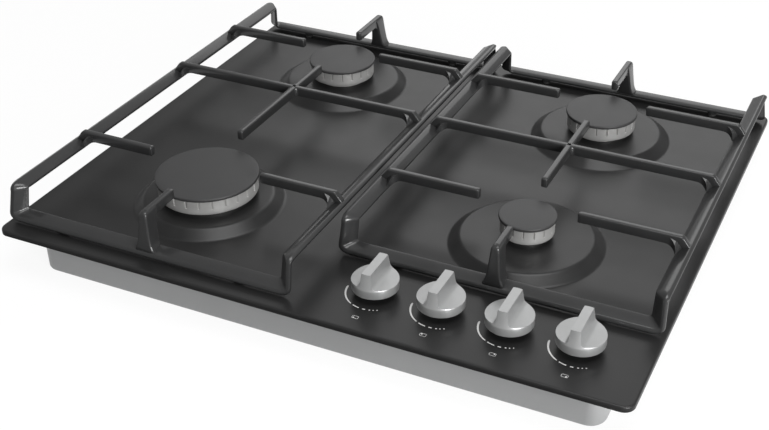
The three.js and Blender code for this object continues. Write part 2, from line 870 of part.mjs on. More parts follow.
function burnerCap(burner) {
  const base = crownTop + seatGap;
  const top = base + capThickness;
  const radius = burner.cap;
  const lip = burner.cap - crownInset - crownWall - gap;
  return turned([
    [0, base - 1.2],
    [lip - 1, base - 1.2],
    [lip, base],
    [radius - 0.8, base],
    [radius, base + 0.8],
    [radius, top - 1],
    [radius - 1, top],
    [0, top + capCrown],
  ], burner.x, burner.y, burner.rounds);
}

function igniter(burner, bearing, radius, collar, tip) {
  const [x, y] = igniterPlace(burner, bearing);
  const seat = dishTop + seatGap;
  return turned([
    [0, seat - igniterTail],
    [radius, seat - igniterTail],
    [radius, seat],
    [collar, seat],
    [collar, seat + collarThickness],
    [radius, seat + collarThickness],
    [radius, crownTop - 3.5],
    [tip, crownTop - 3],
    [tip, crownTop - 1.6],
    [0, crownTop - 1.6],
  ], x, y, 12);
}

for (const burner of burners) {
  addPiece(`burner_cup_${burner.name}`, burnerCup(burner), aluminium);
  addPiece(`burner_crown_${burner.name}`, burnerCrown(burner), aluminium);
  addPiece(`burner_cap_${burner.name}`, burnerCap(burner), capEnamel);
  addPiece(`spark_electrode_${burner.name}`,
    igniter(burner, electrodeBearing, electrodeRadius, electrodeCollar, 0.9), ceramic);
  addPiece(`flame_sensor_${burner.name}`,
    igniter(burner, sensorBearing, sensorRadius, sensorCollar, 1.2), steel);
}

// ---- Knobs and taps ---------------------------------------------------------------------------

const knobBase = trayTop + knobFloat;
const knobTop = knobBase + knobHeight;
const tapTop = tapLift + tapHeight;
const plugTop = tapTop - tapShoulder - gap;
const tongueTip = plugTop - plugSlotDepth + 5;
const noseTop = knobTop - 5;

function knob() {
  const fold = knobSkirt;
  const body = turned([
    [0, 0],
    [knobRadius - 0.5, 0],
    [knobRadius, 0.5],
    [knobRadius, fold - skirtFall],
    [knobRadius - 0.8, fold],
    [knobTopRadius + 0.5, knobHeight - 0.6],
    [knobTopRadius, knobHeight],
    [0, knobHeight],
  ], 0, 0, 32);
  const scoop = (side) => {
    const view = outline([
      [side * (bladeTop / 2 - 0.4), knobHeight + 1],
      [side * (bladeTop / 2), knobHeight - 0.5],
      [side * (bladeFoot / 2 - 1.2), fold + 1.6],
      [side * (bladeFoot / 2 + 0.6), fold],
      [side * (knobRadius + 1), fold - skirtFall],
      [side * (knobRadius + 1), knobHeight + 1],
    ]);
    return solidOf(raised(view, -knobRadius - 1, knobRadius + 1).rotateX(Math.PI / 2));
  };
  const hollow = turned([
    [knobHub, -1],
    [knobRadius - knobWall, -1],
    [knobRadius - knobWall, fold - skirtFall - knobWall - 1],
    [knobRadius - knobWall - 2, fold - skirtFall - knobWall],
    [knobHub, fold - skirtFall - knobWall],
  ], 0, 0, 20);
  const bore = disc(spindleNose + gap, -1, noseTop - knobBase + gap, 0, 0, 12);
  return cutBy(body, [scoop(-1), scoop(1), hollow, bore]);
}

function spindle() {
  const shoulder = knobBase - gap;
  const rod = turned([
    [0, plugTop + gap + knobTravel],
    [spindleRadius, plugTop + gap + knobTravel],
    [spindleRadius, shoulder],
    [spindleNose, shoulder],
    [spindleNose, noseTop - 0.6],
    [spindleNose - 0.6, noseTop],
    [0, noseTop],
  ], 0, 0, 16);
  const tongue = block([-tongueWidth / 2, -tongueThickness / 2, tongueTip],
    [tongueWidth / 2, tongueThickness / 2, plugTop + knobTravel + 2]);
  return rod.add(tongue);
}

function tapPlug() {
  const slot = block([-plugRadius - 1, -tongueThickness / 2 - gap, plugTop - plugSlotDepth],
    [plugRadius + 1, tongueThickness / 2 + gap, plugTop + 1]);
  return disc(plugRadius, plugTop - plugHeight, plugTop, 0, 0, 32).subtract(slot);
}

function tapBody() {
  const body = block([-tapWidth / 2, -tapForward, tapLift], [tapWidth / 2, tapBackward, tapTop]);
  const bore = disc(plugRadius + rotaryGap, tapLift - 1, tapTop - tapShoulder, 0, 0, 32);
  const neck = disc(spindleRadius + gap, tapLift, tapTop + 1, 0, 0, 20);
  const saddle = solidOf(new THREE.CylinderGeometry(railRadius + gap, railRadius + gap, tapWidth + 2, 20)
    .rotateZ(Math.PI / 2)
    .translate(0, railY - knobY, railZ));
  return cutBy(body, [bore, neck, saddle]);
}

knobPlaces.forEach(([x, y], i) => {
  const control = new THREE.Group();
  control.position.set(x, y, 0);
  cooktop.add(control);
  const number = i + 1;
  addPiece(`knob_${number}`, knob().translate([0, 0, knobBase]), knobPaint, control);
  addPiece(`tap_spindle_${number}`, spindle(), steel, control);
  addPiece(`tap_plug_${number}`, tapPlug(), brass, control);
  addPiece(`tap_body_${number}`, tapBody(), aluminium, control);
});

// ---- Gas rail and pipes -----------------------------------------------------------------------

function gasRail() {
  const startX = knobFirstX - tapWidth / 2 - 4;
  const endY = trayDepth / 2 - traySheet - 2;
  const route = (from, to) => bentRoute([
    new THREE.Vector3(from, railY, railZ),
    new THREE.Vector3(railSideX, railY, railZ),
    new THREE.Vector3(railSideX, boxDepth / 2 - inletJog, railZ),
    new THREE.Vector3(inletX, boxDepth / 2 - inletJog + railSideX - inletX, railZ),
    new THREE.Vector3(inletX, to, railZ),
  ], railBend);
  const nut = solidOf(new THREE.CylinderGeometry(railNut, railNut, railNutLength, 6)
    .translate(inletX, boxDepth / 2 + gap + railNutLength / 2, railZ + 2));
  const nutRoom = block([-trayHalf, -trayHalf, 0.4], [trayHalf, trayHalf, trayTop]);
  return roundAlong(route(startX, endY), railRadius, 12)
    .add(nut.intersect(nutRoom))
    .subtract(roundAlong(route(startX + 3, endY + 2), railBore, 10));
}

const cupSide = (burner, bearing) => {
  const reach = burner.cap - cupInset - cupStep + gap;
  const turn = (bearing * Math.PI) / 180;
  return [burner.x + reach * Math.cos(turn), burner.y + reach * Math.sin(turn)];
};

function gasPipe(tap, burner, bearing, via) {
  const start = [knobPlaces[tap][0], knobY + tapBackward + gap];
  const [endX, endY] = cupSide(burner, bearing);
  const turn = (bearing * Math.PI) / 180;
  const approach = [endX + pipeLead * Math.cos(turn), endY + pipeLead * Math.sin(turn)];
  const plan = [start, [start[0], start[1] + pipeLead], ...via, approach, [endX, endY]];
  const corners = plan.map(([x, y]) => new THREE.Vector3(x, y, pipeZ));
  return roundAlong(bentRoute(corners, pipeBend, 3), pipeRadius, pipeSides);
}

addPiece('gas_rail', gasRail(), steel);
const [frontLeft, rearLeft, frontRight, rearRight] = burners;
addPiece('gas_pipe_front_left', gasPipe(0, frontLeft, 0, []), aluminium);
addPiece('gas_pipe_rear_left', gasPipe(1, rearLeft, 0, [
  [knobPlaces[0][0], -pipeTurnY],
  [rearLeft.x + pipeAside, rearLeft.y],
]), aluminium);
addPiece('gas_pipe_front_right', gasPipe(2, frontRight, -90, []), aluminium);
addPiece('gas_pipe_rear_right', gasPipe(3, rearRight, 0, [[knobPlaces[3][0], pipeTurnY]]), aluminium);

// ---- Ignition and mains entry -----------------------------------------------------------------

function sparkGenerator() {
  const [width, depth, height] = generatorSize;
  const floor = boxSheet + gap;
  const body = softSlab(width, depth, 4, floor, floor + height, 2, true);
  const ears = solidOf(raised(roundedRectangle(width + 4 * generatorEar, depth / 2, 4), floor, floor + 2.5));
  const terminals = [-1.5, -0.5, 0.5, 1.5].map((place) =>
    disc(2.6, floor + height - 1, floor + height + 6, place * 12, 0, 8));
  const screws = [-1, 1].map((side) =>
    disc(2, floor - 1, floor + 5, side * (width / 2 + generatorEar), 0, 8));
  return cutBy(united([body, ears, ...terminals]), screws).translate([generatorX, generatorY, 0]);
}

function cordGland() {
  const wall = boxDepth / 2;
  const along = (radius, from, to, sides) =>
    solidOf(new THREE.CylinderGeometry(radius, radius, to - from, sides)
      .translate(glandX, (from + to) / 2, glandZ));
  const nut = along(glandRadius, wall + gap, wall + glandLength, 6);
  const thread = along(glandThread, wall - 8, wall + glandLength - 1, 16);
  const bore = along(glandBore, wall - 9, wall + glandLength + 1, 12);
  return nut.add(thread).subtract(bore);
}

addPiece('spark_generator', sparkGenerator(), plastic);
addPiece('mains_cord_gland', cordGland(), plastic);

export default cooktop;
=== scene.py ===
import json
import math
import bmesh
import bpy
import numpy as np
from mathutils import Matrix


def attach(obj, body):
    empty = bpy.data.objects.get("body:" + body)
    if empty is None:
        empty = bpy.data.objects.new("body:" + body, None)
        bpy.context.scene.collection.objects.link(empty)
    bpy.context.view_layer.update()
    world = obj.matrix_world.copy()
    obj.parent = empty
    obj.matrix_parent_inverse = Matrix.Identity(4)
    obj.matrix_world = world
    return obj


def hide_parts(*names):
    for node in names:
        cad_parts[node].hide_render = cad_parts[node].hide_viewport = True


# A built-in gas cooktop with enamelled cast pan supports. Lengths are in millimetres, and every
# mesh is written in metres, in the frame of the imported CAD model.

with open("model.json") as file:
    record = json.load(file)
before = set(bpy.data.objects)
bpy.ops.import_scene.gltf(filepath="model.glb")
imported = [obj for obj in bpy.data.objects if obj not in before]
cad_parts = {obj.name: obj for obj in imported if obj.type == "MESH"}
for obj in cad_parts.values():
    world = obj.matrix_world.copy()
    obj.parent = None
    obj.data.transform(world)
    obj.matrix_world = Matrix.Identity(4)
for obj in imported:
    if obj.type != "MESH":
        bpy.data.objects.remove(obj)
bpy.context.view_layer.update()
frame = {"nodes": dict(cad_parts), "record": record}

mm = 0.001
trayTop = 48.0
burners = [
    {"name": "front_left", "x": -149.0, "y": -133.0, "cap": 48.5, "ports": 24},
    {"name": "rear_left", "x": -149.0, "y": 138.0, "cap": 36.0, "ports": 20},
    {"name": "front_right", "x": 149.0, "y": -77.0, "cap": 26.2, "ports": 16},
    {"name": "rear_right", "x": 149.0, "y": 138.0, "cap": 36.0, "ports": 20},
]
knobPlaces = [(58.8 + 60.6 * i, -199.9) for i in range(4)]

# The camera stands where the photograph's perspective puts it. Angles are in degrees, the far end
# of its view in metres, and the shift is a share of the picture's width.
view = {"place": (448.7, -953.4, 668.5), "pitch": 57.35, "turn": 24.25, "lens": 57.909, "shift": -0.05917,
        "sensor": 36, "far": 50}


def newObject(name, data):
    # an object at the origin, linked into the scene
    made = bpy.data.objects.new(name, data)
    bpy.context.scene.collection.objects.link(made)
    return made


def addCamera():
    # a gaze straight down, pitched up and then turned about the vertical
    data = bpy.data.cameras.new("camera")
    data.sensor_width = view["sensor"]
    data.lens = view["lens"]
    data.shift_x = view["shift"]
    data.clip_end = view["far"]
    camera = newObject("camera", data)
    camera.location = [v * mm for v in view["place"]]
    camera.rotation_euler = (math.radians(view["pitch"]), 0, math.radians(view["turn"]))
    bpy.context.scene.camera = camera


addCamera()
print("camera placed")


class Wire:
    # an output socket that takes part in shader maths: each operator adds the node of its name
    def __init__(self, graph, end):
        self.graph = graph
        self.end = end

    def __add__(self, other):
        return self.graph.maths("ADD", self, other)

    def __radd__(self, other):
        return self.graph.maths("ADD", other, self)

    def __sub__(self, other):
        return self.graph.maths("SUBTRACT", self, other)

    def __rsub__(self, other):
        return self.graph.maths("SUBTRACT", other, self)

    def __mul__(self, other):
        return self.graph.maths("MULTIPLY", self, other)

    def __rmul__(self, other):
        return self.graph.maths("MULTIPLY", other, self)

    def __truediv__(self, other):
        return self.graph.maths("DIVIDE", self, other)


class Graph:
    # the node tree of a new material or world, which ends in a shader and an output
    def __init__(self, owner, shader="Principled BSDF", output="Material Output"):
        self.owner = owner
        owner.use_nodes = True
        self.tree = owner.node_tree
        self.shader = self.tree.nodes[shader]
        self.output = self.tree.nodes[output]

    def node(self, kind, settings=None, sockets=None, out=0):
        # any node: its settings, its inputs, and the output that is wanted
        made = self.tree.nodes.new(kind)
        for key, value in (settings or {}).items():
            setattr(made, key, value)
        for key, value in (sockets or {}).items():
            self.feed(made.inputs[key], value)
        return Wire(self, made.outputs[out])

    def feed(self, socket, value):
        # a wire is linked, a colour gets its alpha, and a number is set as it is
        if isinstance(value, Wire):
            self.tree.links.new(value.end, socket)
        elif isinstance(value, tuple) and len(value) == 3 and socket.type == "RGBA":
            socket.default_value = (*value, 1)
        else:
            socket.default_value = value

    def maths(self, operation, a, b=0.0, clamp=False):
        # the operation on a and b, kept between 0 and 1 where it is clamped
        return self.node("ShaderNodeMath", {"operation": operation, "use_clamp": clamp}, {0: a, 1: b})

    def blend(self, share, first, second):
        # first plus the share of second less first, for colours
        return self.node("ShaderNodeMix", {"data_type": "RGBA"}, {0: share, 6: first, 7: second}, 2)

    def place(self, scale=(1, 1, 1)):
        # the object's own coordinates, in metres, times the scale
        coordinates = self.node("ShaderNodeTexCoord", out="Object")
        return self.node("ShaderNodeMapping", None, {"Vector": coordinates, "Scale": scale})

    def axis(self, which):
        # one of the object's own coordinates, in metres
        return self.node("ShaderNodeSeparateXYZ", None, {0: self.place()}, which)

    def noise(self, size, detail=3.0, stretch=(1, 1, 1), rough=0.5):
        # noise whose grains are about the size across
        return self.node("ShaderNodeTexNoise", None, {
            "Vector": self.place(stretch), "Scale": 1 / (size * mm), "Detail": detail, "Roughness": rough})

    def rise(self, value, low, high):
        # 0 up to the low value, 1 from the high one, and straight between them
        made = self.node("ShaderNodeValToRGB", None, {0: value})
        for stop, position, shade in zip(made.end.node.color_ramp.elements, (low, high), (0.0, 1.0)):
            stop.position = position
            stop.color = (shade, shade, shade, 1)
        return made

    def bump(self, height, depth, strength):
        # a normal tilted as if the height raised the surface by up to the depth
        return self.node("ShaderNodeBump", None, {
            "Height": height, "Distance": depth * mm, "Strength": strength})

    def ray(self, kind):
        # 1 where the ray is of the kind, else 0
        return self.node("ShaderNodeLightPath", out=f"Is {kind} Ray")

    def set(self, **sockets):
        # numbers and wires go on the shader's own inputs
        names = {"color": "Base Color", "roughness": "Roughness", "metallic": "Metallic",
                 "coat": "Coat Weight", "coatRoughness": "Coat Roughness", "normal": "Normal",
                 "specular": "Specular IOR Level"}
        for key, value in sockets.items():
            self.feed(self.shader.inputs[names[key]], value)
        return self.owner


def newGraph(name):
    # the graph of a new material
    return Graph(bpy.data.materials.new(name))


def trayEnamel():
    # satin enamel: a slow cloud, pale flecks and a fine peel in the gloss, duller gloss on the
    # turned-down rim, which lies below the tray's top, and painted shade that darkens its colour there
    g = newGraph("tray enamel")
    span = 60 * mm
    flat = g.rise(g.axis("Z") / span, 0.745, 0.79)
    color = g.blend(g.noise(60, 4.0), (0.0105, 0.0105, 0.0106), (0.0140, 0.0140, 0.0141))
    color = g.blend(g.noise(0.8, 2.0) * 0.30, color, (0.024, 0.024, 0.0241))
    # painted shade: where the mask is 0, on the rim, the colour is darker than on the top
    color = g.blend(flat, (0.0065, 0.0065, 0.0066), color)
    return g.set(color=color, roughness=0.36 + g.noise(18, 5.0) * 0.08, metallic=0.0, coat=flat * 0.32,
                 coatRoughness=0.34, specular=0.20, normal=g.bump(g.noise(2.6, 2.0), 0.04, 0.3))


def supportEnamel():
    # enamelled casting: fine pits and bumps under the gloss, a little lighter where handled
    g = newGraph("support enamel")
    cast = g.noise(1.1, 4.0, rough=0.65)
    wear = g.noise(28, 5.0)
    color = g.blend(wear, (0.0170, 0.0172, 0.0175), (0.0250, 0.0252, 0.0255))
    color = g.blend(g.rise(cast, 0.60, 0.74) * 0.35, color, (0.080, 0.080, 0.081))
    return g.set(color=color, roughness=0.42 + wear * 0.12, metallic=0.0, coat=0.62, coatRoughness=0.12,
                 specular=0.26, normal=g.bump(cast, 0.07, 0.30))


def galvanisedSteel():
    # rolled sheet: streaks and a cloud in the colour, a fine grain in the gloss
    g = newGraph("galvanised steel")
    roll = g.noise(26, 4.0, stretch=(0.10, 0.10, 1))
    fine = g.noise(1.2, 3.0)
    color = g.blend(roll * 0.6 + g.noise(45, 3.0) * 0.4, (0.43, 0.435, 0.438), (0.52, 0.524, 0.526))
    return g.set(color=color, roughness=0.30 + fine * 0.10, metallic=0.7, specular=0.5,
                 normal=g.bump(fine, 0.015, 0.25))


def castAluminium():
    # blasted casting: stain clouds over a fine grain
    g = newGraph("cast aluminium")
    grain = g.noise(0.7, 3.0, rough=0.6)
    color = g.blend(g.noise(9, 4.0), (0.365, 0.363, 0.355), (0.49, 0.487, 0.479))
    return g.set(color=color, roughness=0.36 + grain * 0.14, metallic=0.45, normal=g.bump(grain, 0.05, 0.35))


def capEnamel():
    # matt enamel: one cloud turns it both paler and rougher, over a fine grain
    g = newGraph("cap enamel")
    cloud = g.noise(14, 4.0)
    color = g.blend(cloud, (0.027, 0.027, 0.0275), (0.040, 0.040, 0.0405))
    return g.set(color=color, roughness=0.42 + cloud * 0.12, coat=0.06, coatRoughness=0.3, specular=0.40,
                 normal=g.bump(g.noise(0.6, 3.0), 0.04, 0.35))


def knobPaint():
    # silver paint: half metal flakes, half a slow cloud, under a clear coat
    g = newGraph("knob paint")
    flake = g.noise(0.35, 1.0)
    color = g.blend(flake * 0.5 + g.noise(12, 2.0) * 0.5, (0.325, 0.329, 0.329), (0.415, 0.419, 0.419))
    return g.set(color=color, roughness=0.34 + flake * 0.10, metallic=0.55, coat=0.3, coatRoughness=0.15,
                 normal=g.bump(flake, 0.012, 0.3))


def plainMetal(name, low, high, roughness=0.34, metallic=0.9):
    # machined or drawn metal: fine rings along Z that are both paler and rougher
    g = newGraph(name)
    turn = g.noise(3.0, 4.0, stretch=(1, 1, 4))
    return g.set(color=g.blend(turn, low, high), roughness=roughness - 0.05 + turn * 0.12, metallic=metallic,
                 normal=g.bump(turn, 0.03, 0.3))


def softStuff(name, low, high, size, roughness, depth):
    # rubber, foam, ceramic or plastic: pores of the size that lift the colour and the gloss
    g = newGraph(name)
    pores = g.noise(size, 4.0, rough=0.6)
    return g.set(color=g.blend(pores, low, high), roughness=roughness + pores * 0.08, metallic=0.0,
                 normal=g.bump(pores, depth, 0.5))


def printInk():
    # screen print, worn a little unevenly
    g = newGraph("print ink")
    worn = g.noise(0.5, 3.0)
    return g.set(color=g.blend(worn, (0.50, 0.50, 0.495), (0.62, 0.62, 0.615)), roughness=0.45 + worn * 0.1)


finishes = {
    "tray_enamel": trayEnamel(),
    "support_enamel": supportEnamel(),
    "galvanised_steel": galvanisedSteel(),
    "burner_aluminium": castAluminium(),
    "cap_enamel": capEnamel(),
    "knob_paint": knobPaint(),
    "brass": plainMetal("brass", (0.48, 0.34, 0.14), (0.60, 0.45, 0.20)),
    "pipe_steel": plainMetal("pipe steel", (0.40, 0.41, 0.42), (0.55, 0.56, 0.57)),
    "bare_aluminium": plainMetal("bare aluminium", (0.45, 0.455, 0.46), (0.62, 0.625, 0.63), 0.42, 0.85),
    "spark_ceramic": softStuff("spark ceramic", (0.62, 0.60, 0.54), (0.74, 0.72, 0.66), 1.5, 0.45, 0.03),
    "foot_rubber": softStuff("foot rubber", (0.010, 0.010, 0.010), (0.022, 0.022, 0.022), 0.8, 0.7, 0.05),
    "seal_foam": softStuff("seal foam", (0.030, 0.030, 0.031), (0.055, 0.055, 0.056), 0.6, 0.85, 0.12),
    "electric_plastic": softStuff("electric plastic", (0.020, 0.021, 0.023), (0.032, 0.033, 0.036),
                                  0.7, 0.5, 0.05),
}
ink = printInk()
print("materials made", len(finishes) + 1)


def gridFaces(rows, columns, closedRows=False, closedColumns=False):
    # every face of a grid of points, as whole arrays: (i, j), (i, j+1), (i+1, j+1), (i+1, j)
    i = np.arange(rows if closedRows else rows - 1)[:, None]
    j = np.arange(columns if closedColumns else columns - 1)[None, :]
    right, below = (j + 1) % columns, (i + 1) % rows
    corners = [i * columns + j, i * columns + right, below * columns + right, below * columns + j]
    return np.stack([np.broadcast_to(c, (i.size, j.size)) for c in corners], -1).reshape(-1, 4).tolist()


def tube(loops):
    # the side faces alone of a stack of closed loops, each (points, 3)
    return loops.reshape(-1, 3), gridFaces(*loops.shape[:2], False, True)


def skin(loops, capped=True, closedRows=False):
    # a skin over a stack of closed loops, each (points, 3), with flat ends
    loops = np.asarray(loops, float)
    rows, columns = loops.shape[:2]
    faces = gridFaces(rows, columns, closedRows, True)
    if capped and not closedRows:
        faces += [list(range(columns))[::-1], list(range((rows - 1) * columns, rows * columns))]
    return loops.reshape(-1, 3), faces


def atHeight(flat, z):
    # points of a plan, all at the height z
    return np.column_stack([flat, np.full(len(flat), z)])


def turned(profile, x, y, steps=96):
    # radius and height from the profile, carried once round the vertical through (x, y)
    profile = np.asarray(profile, float)
    turn = np.linspace(0, 2 * np.pi, steps, endpoint=False)
    radius, height = profile[:, :1], profile[:, 1:]
    loops = np.stack([x + radius * np.cos(turn), y + radius * np.sin(turn), height + 0 * turn], -1)
    return skin(loops, capped=profile[0, 0] > 0 or profile[-1, 0] > 0)


def roundRectangle(width, depth, radius, steps=8):
    # points of a rectangle with round corners, anticlockwise from the front right corner: the
    # middle of each corner plus the radius, turned through a quarter
    corners = []
    for cx, cy, first in ((1, -1, -90), (1, 1, 0), (-1, 1, 90), (-1, -1, 180)):
        turn = np.radians(np.linspace(first, first + 90, steps + 1))
        middle = np.array([cx * (width / 2 - radius), cy * (depth / 2 - radius)])
        corners.append(middle + radius * np.stack([np.cos(turn), np.sin(turn)], -1))
    return np.concatenate(corners)


def builtMesh(name, parts, weld=None):
    # the parts' points one after another, with each part's faces moved on by the points before it
    vertices, faces, start = [], [], 0
    for points, sides in parts:
        vertices.append(points)
        faces += [[corner + start for corner in side] for side in sides]
        start += len(points)
    mesh = bpy.data.meshes.new(name)
    mesh.from_pydata((np.concatenate(vertices) * mm).tolist(), [], faces)
    made = bmesh.new()
    made.from_mesh(mesh)
    if weld:
        bmesh.ops.remove_doubles(made, verts=made.verts, dist=weld)
    bmesh.ops.recalc_face_normals(made, faces=made.faces)
    made.to_mesh(mesh)
    made.free()
    return mesh


def makePiece(name, parts, finish, body, nodes=(), sharp=35.0):
    # a smooth mesh of the parts, with its finish, its body and the nodes that it stands for
    mesh = builtMesh(name, parts, weld=0.002 * mm)
    mesh.shade_smooth()
    mesh.set_sharp_from_angle(angle=math.radians(sharp))
    mesh.materials.append(finishes.get(finish, ink))
    piece = newObject(name, mesh)
    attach(piece, body)
    if nodes:
        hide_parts(*nodes)
    return piece


def cutAway(piece, shapes):
    # the piece less the shapes, kept as its mesh, with edges over 35 degrees sharp
    tool = newObject("cutters", builtMesh("cutters", shapes))
    cut = piece.modifiers.new("holes", "BOOLEAN")
    cut.object = tool
    cut.operation = "DIFFERENCE"
    cut.solver = "EXACT"
    shaped = bpy.data.meshes.new_from_object(piece.evaluated_get(bpy.context.evaluated_depsgraph_get()))
    piece.modifiers.clear()
    piece.data = shaped
    bpy.data.objects.remove(tool)
    shaped.set_sharp_from_angle(angle=math.radians(35))


# The tray: one sheet with a dish round each burner and a rolled edge. A burner's hole is smaller than
# its cap by holeGap, and a dish slopes from dishTop out to dishFoot with bends softened over soft.
tray = {"width": 600, "depth": 510, "corner": 10, "rim": 5, "rounding": 1.8, "sheet": 1.2, "edge": 3.0,
        "dishTop": 60.6, "dishFoot": 70.4, "soft": 1.7, "dishHeight": 8.5, "holeGap": 11.9,
        "flatRings": (52, 57), "across": 62, "along": 52, "cornerSteps": 8}


def rampArea(reach):
    # the area up to a place under a ramp that rises from 0 to 1 over the slope's length
    length = tray["dishFoot"] - tray["dishTop"]
    return np.where(reach < 0, 0, np.where(reach > length, reach - length / 2, reach * reach / (2 * length)))


def dishHeightAt(radius):
    # a straight slope whose two bends are rounded: the mean of a clipped ramp over a short window
    window = tray["soft"]
    far = tray["dishFoot"] - radius
    share = (rampArea(far + window) - rampArea(far - window)) / (2 * window)
    return trayTop + tray["dishHeight"] * share


def straightRun(start, end, steps):
    # the start plus equal shares of the way to the end, without the end itself
    share = np.linspace(0, 1, steps, endpoint=False)[:, None]
    return np.array(start) + (np.array(end) - np.array(start)) * share


def cellEdge(signX, signY):
    # a quarter of the tray: from the middle out, round the outer corner and back
    x, y = tray["width"] / 2 - tray["edge"], tray["depth"] / 2 - tray["edge"]
    r = tray["corner"] - tray["edge"]
    turn = np.radians(np.linspace(0, 90, tray["cornerSteps"] + 1))[:-1, None]
    edge = np.concatenate([
        straightRun((0, 0), (x, 0), tray["across"]),
        straightRun((x, 0), (x, y - r), tray["along"]),
        np.array([x - r, y - r]) + r * np.concatenate([np.cos(turn), np.sin(turn)], 1),
        straightRun((x - r, y), (0, y), tray["across"]),
        straightRun((0, y), (0, 0), tray["along"]),
    ])
    return edge * [signX, signY]


def trayCell(burner):
    # rings about the burner that widen from the cup's hole to the quarter's edge
    edge = cellEdge(np.sign(burner["x"]), np.sign(burner["y"]))
    middle = np.array([burner["x"], burner["y"]])
    ray = edge - middle
    ray /= np.linalg.norm(ray, axis=1, keepdims=True)
    hole = burner["cap"] - tray["holeGap"]
    top, foot, soft = tray["dishTop"], tray["dishFoot"], tray["soft"]
    radii = np.concatenate([[hole, hole + 2, *tray["flatRings"]], np.linspace(top - soft, top + soft, 8),
                            np.linspace(foot - soft, foot + soft, 8), [foot + soft + 0.6]])
    rings = [atHeight(middle + ray * r, dishHeightAt(r)) for r in radii]
    return tube(np.array(rings + [atHeight(edge, trayTop)]))


def trayRim():
    # the rolled edge: the outer sides of all four quarters, carried outwards and down a quarter turn
    start, end = tray["across"], 2 * tray["across"] + tray["along"] + tray["cornerSteps"] + 1
    outlines = []
    for signX, signY, flip in ((1, 1, 1), (-1, 1, -1), (-1, -1, 1), (1, -1, -1)):
        outlines.append(cellEdge(signX, signY)[start:end][::flip][:-1])
    ring = np.concatenate(outlines)
    x, y = tray["width"] / 2 - tray["corner"], tray["depth"] / 2 - tray["corner"]
    out = ring - np.clip(ring, [-x, -y], [x, y])
    out /= np.linalg.norm(out, axis=1, keepdims=True)
    turn = np.linspace(0, np.pi / 2, 7)
    reach = [0, *(tray["edge"] - tray["rounding"] * (1 - np.sin(turn))), tray["edge"]]
    height = [trayTop, *(trayTop - tray["rounding"] * (1 - np.cos(turn))), trayTop - tray["rim"]]
    return tube(np.array([atHeight(ring + out * a, z) for a, z in zip(reach, height)]))


def makeTray():
    # the sheet's upper face, thickened downwards
    piece = makePiece("topPlate", [trayCell(b) for b in burners] + [trayRim()], "tray_enamel", "root",
                      ["top_plate"])
    wall = piece.modifiers.new("sheet", "SOLIDIFY")
    wall.thickness = tray["sheet"] * mm
    wall.offset = -1


makeTray()
print("tray made")

# The box under the tray: a pressed pan whose floor folds up over a radius, with a flange at the top.
# The vents are rows of slots beside the middle, and each rear hole has x, z and a radius.
box = {"width": 546, "depth": 470, "corner": 15, "fold": 3, "top": 46.5, "sheet": 1, "flange": 7}
vents = {"rows": 4, "pitch": 16, "aside": 160.5, "back": 33, "length": 46, "width": 5}
rearHoles = {"gas inlet": (244, 9.5, 7.6), "cord gland": (-200, 22, 6.8)}


def boxLoop(inset, height):
    # the box's outline drawn in by the inset
    loop = roundRectangle(box["width"] - 2 * inset, box["depth"] - 2 * inset, box["corner"] - inset, 10)
    return atHeight(loop, height)


def boxProfile():
    # inset and height, up the outside, out under the flange, back over it and down the inside
    top, flange, sheet, fold = box["top"], box["flange"], box["sheet"], box["fold"]
    turn = np.linspace(0, np.pi / 2, 6)
    outer = [(fold * (1 - math.sin(t)), fold * (1 - math.cos(t))) for t in turn]
    inside = fold - sheet
    inner = [(sheet + inside * (1 - math.cos(t)), sheet + inside * (1 - math.sin(t))) for t in turn]
    underFlange = [(0, top - 1.9), (-0.3, top - 1.3), (-0.9, top - sheet), (-flange, top - sheet)]
    return outer + underFlange + [(-flange, top), (sheet - 0.6, top), (sheet, top - 0.7)] + inner


def ventSlot(x, y):
    # an upright cutter with round ends through the floor
    loop = roundRectangle(vents["length"], vents["width"], vents["width"] / 2 - 0.01, 5) + [x, y]
    return skin(np.array([atHeight(loop, z) for z in (-2.0, 5.0)]))


def rearHole(x, z, radius):
    # a round cutter along Y through the rear wall
    turn = np.linspace(0, 2 * np.pi, 32, endpoint=False)
    wall = box["depth"] / 2
    return skin(np.array([np.stack([x + radius * np.cos(turn), 0 * turn + y, z + radius * np.sin(turn)], -1)
                          for y in (wall - 10, wall + 10)]))


def makeBox():
    # the pan, less its vents and rear holes
    piece = makePiece("burnerBox", [skin(np.array([boxLoop(*place) for place in boxProfile()]))],
                      "galvanised_steel", "root", ["burner_box"])
    middle = (vents["rows"] - 1) / 2
    slots = [ventSlot(side * vents["aside"], (row - middle) * vents["pitch"] + vents["back"])
             for row in range(vents["rows"]) for side in (-1, 1)]
    cutAway(piece, slots + [rearHole(*place) for place in rearHoles.values()])


makeBox()
print("box made")

# A pan support's strip, in section: a flat face of the width, tilted from its inner edge, a ridge with
# the bend's radius, and a flange that falls away. Heights are above the tray's top, angles in degrees.
# Down a leg the face turns by legTurn and ends legFoot wide, and low is its width along the low run.
strip = {"width": 11.7, "legFoot": 15.0, "low": 12.4, "thick": 3.2, "flange": 3.9, "fall": 39, "tilt": 21,
         "legTurn": 47, "foldReach": 3.0, "foldSteps": 8, "legDrop": 0.25, "footMitre": 0.5,
         "high": 32.1, "bend": 2.2, "edge": 0.7, "corner": 0.6}
innerEdge = [[0, -1.3], [0.25, -0.5], [1.0, 0]]
# Each end has its low run's height and tilt, how far a leg splays, the face's width at the leg's head,
# the mitre there, and how far the low run's underside is lowered.
ends = {"front": {"low": 10.7, "tilt": 18, "splay": 4, "legTop": 13.5, "mitre": 0.15, "skirt": 1.2},
        "rear": {"low": 8.8, "tilt": 0, "splay": 0, "legTop": 11, "mitre": 0.3, "skirt": 2.4}}
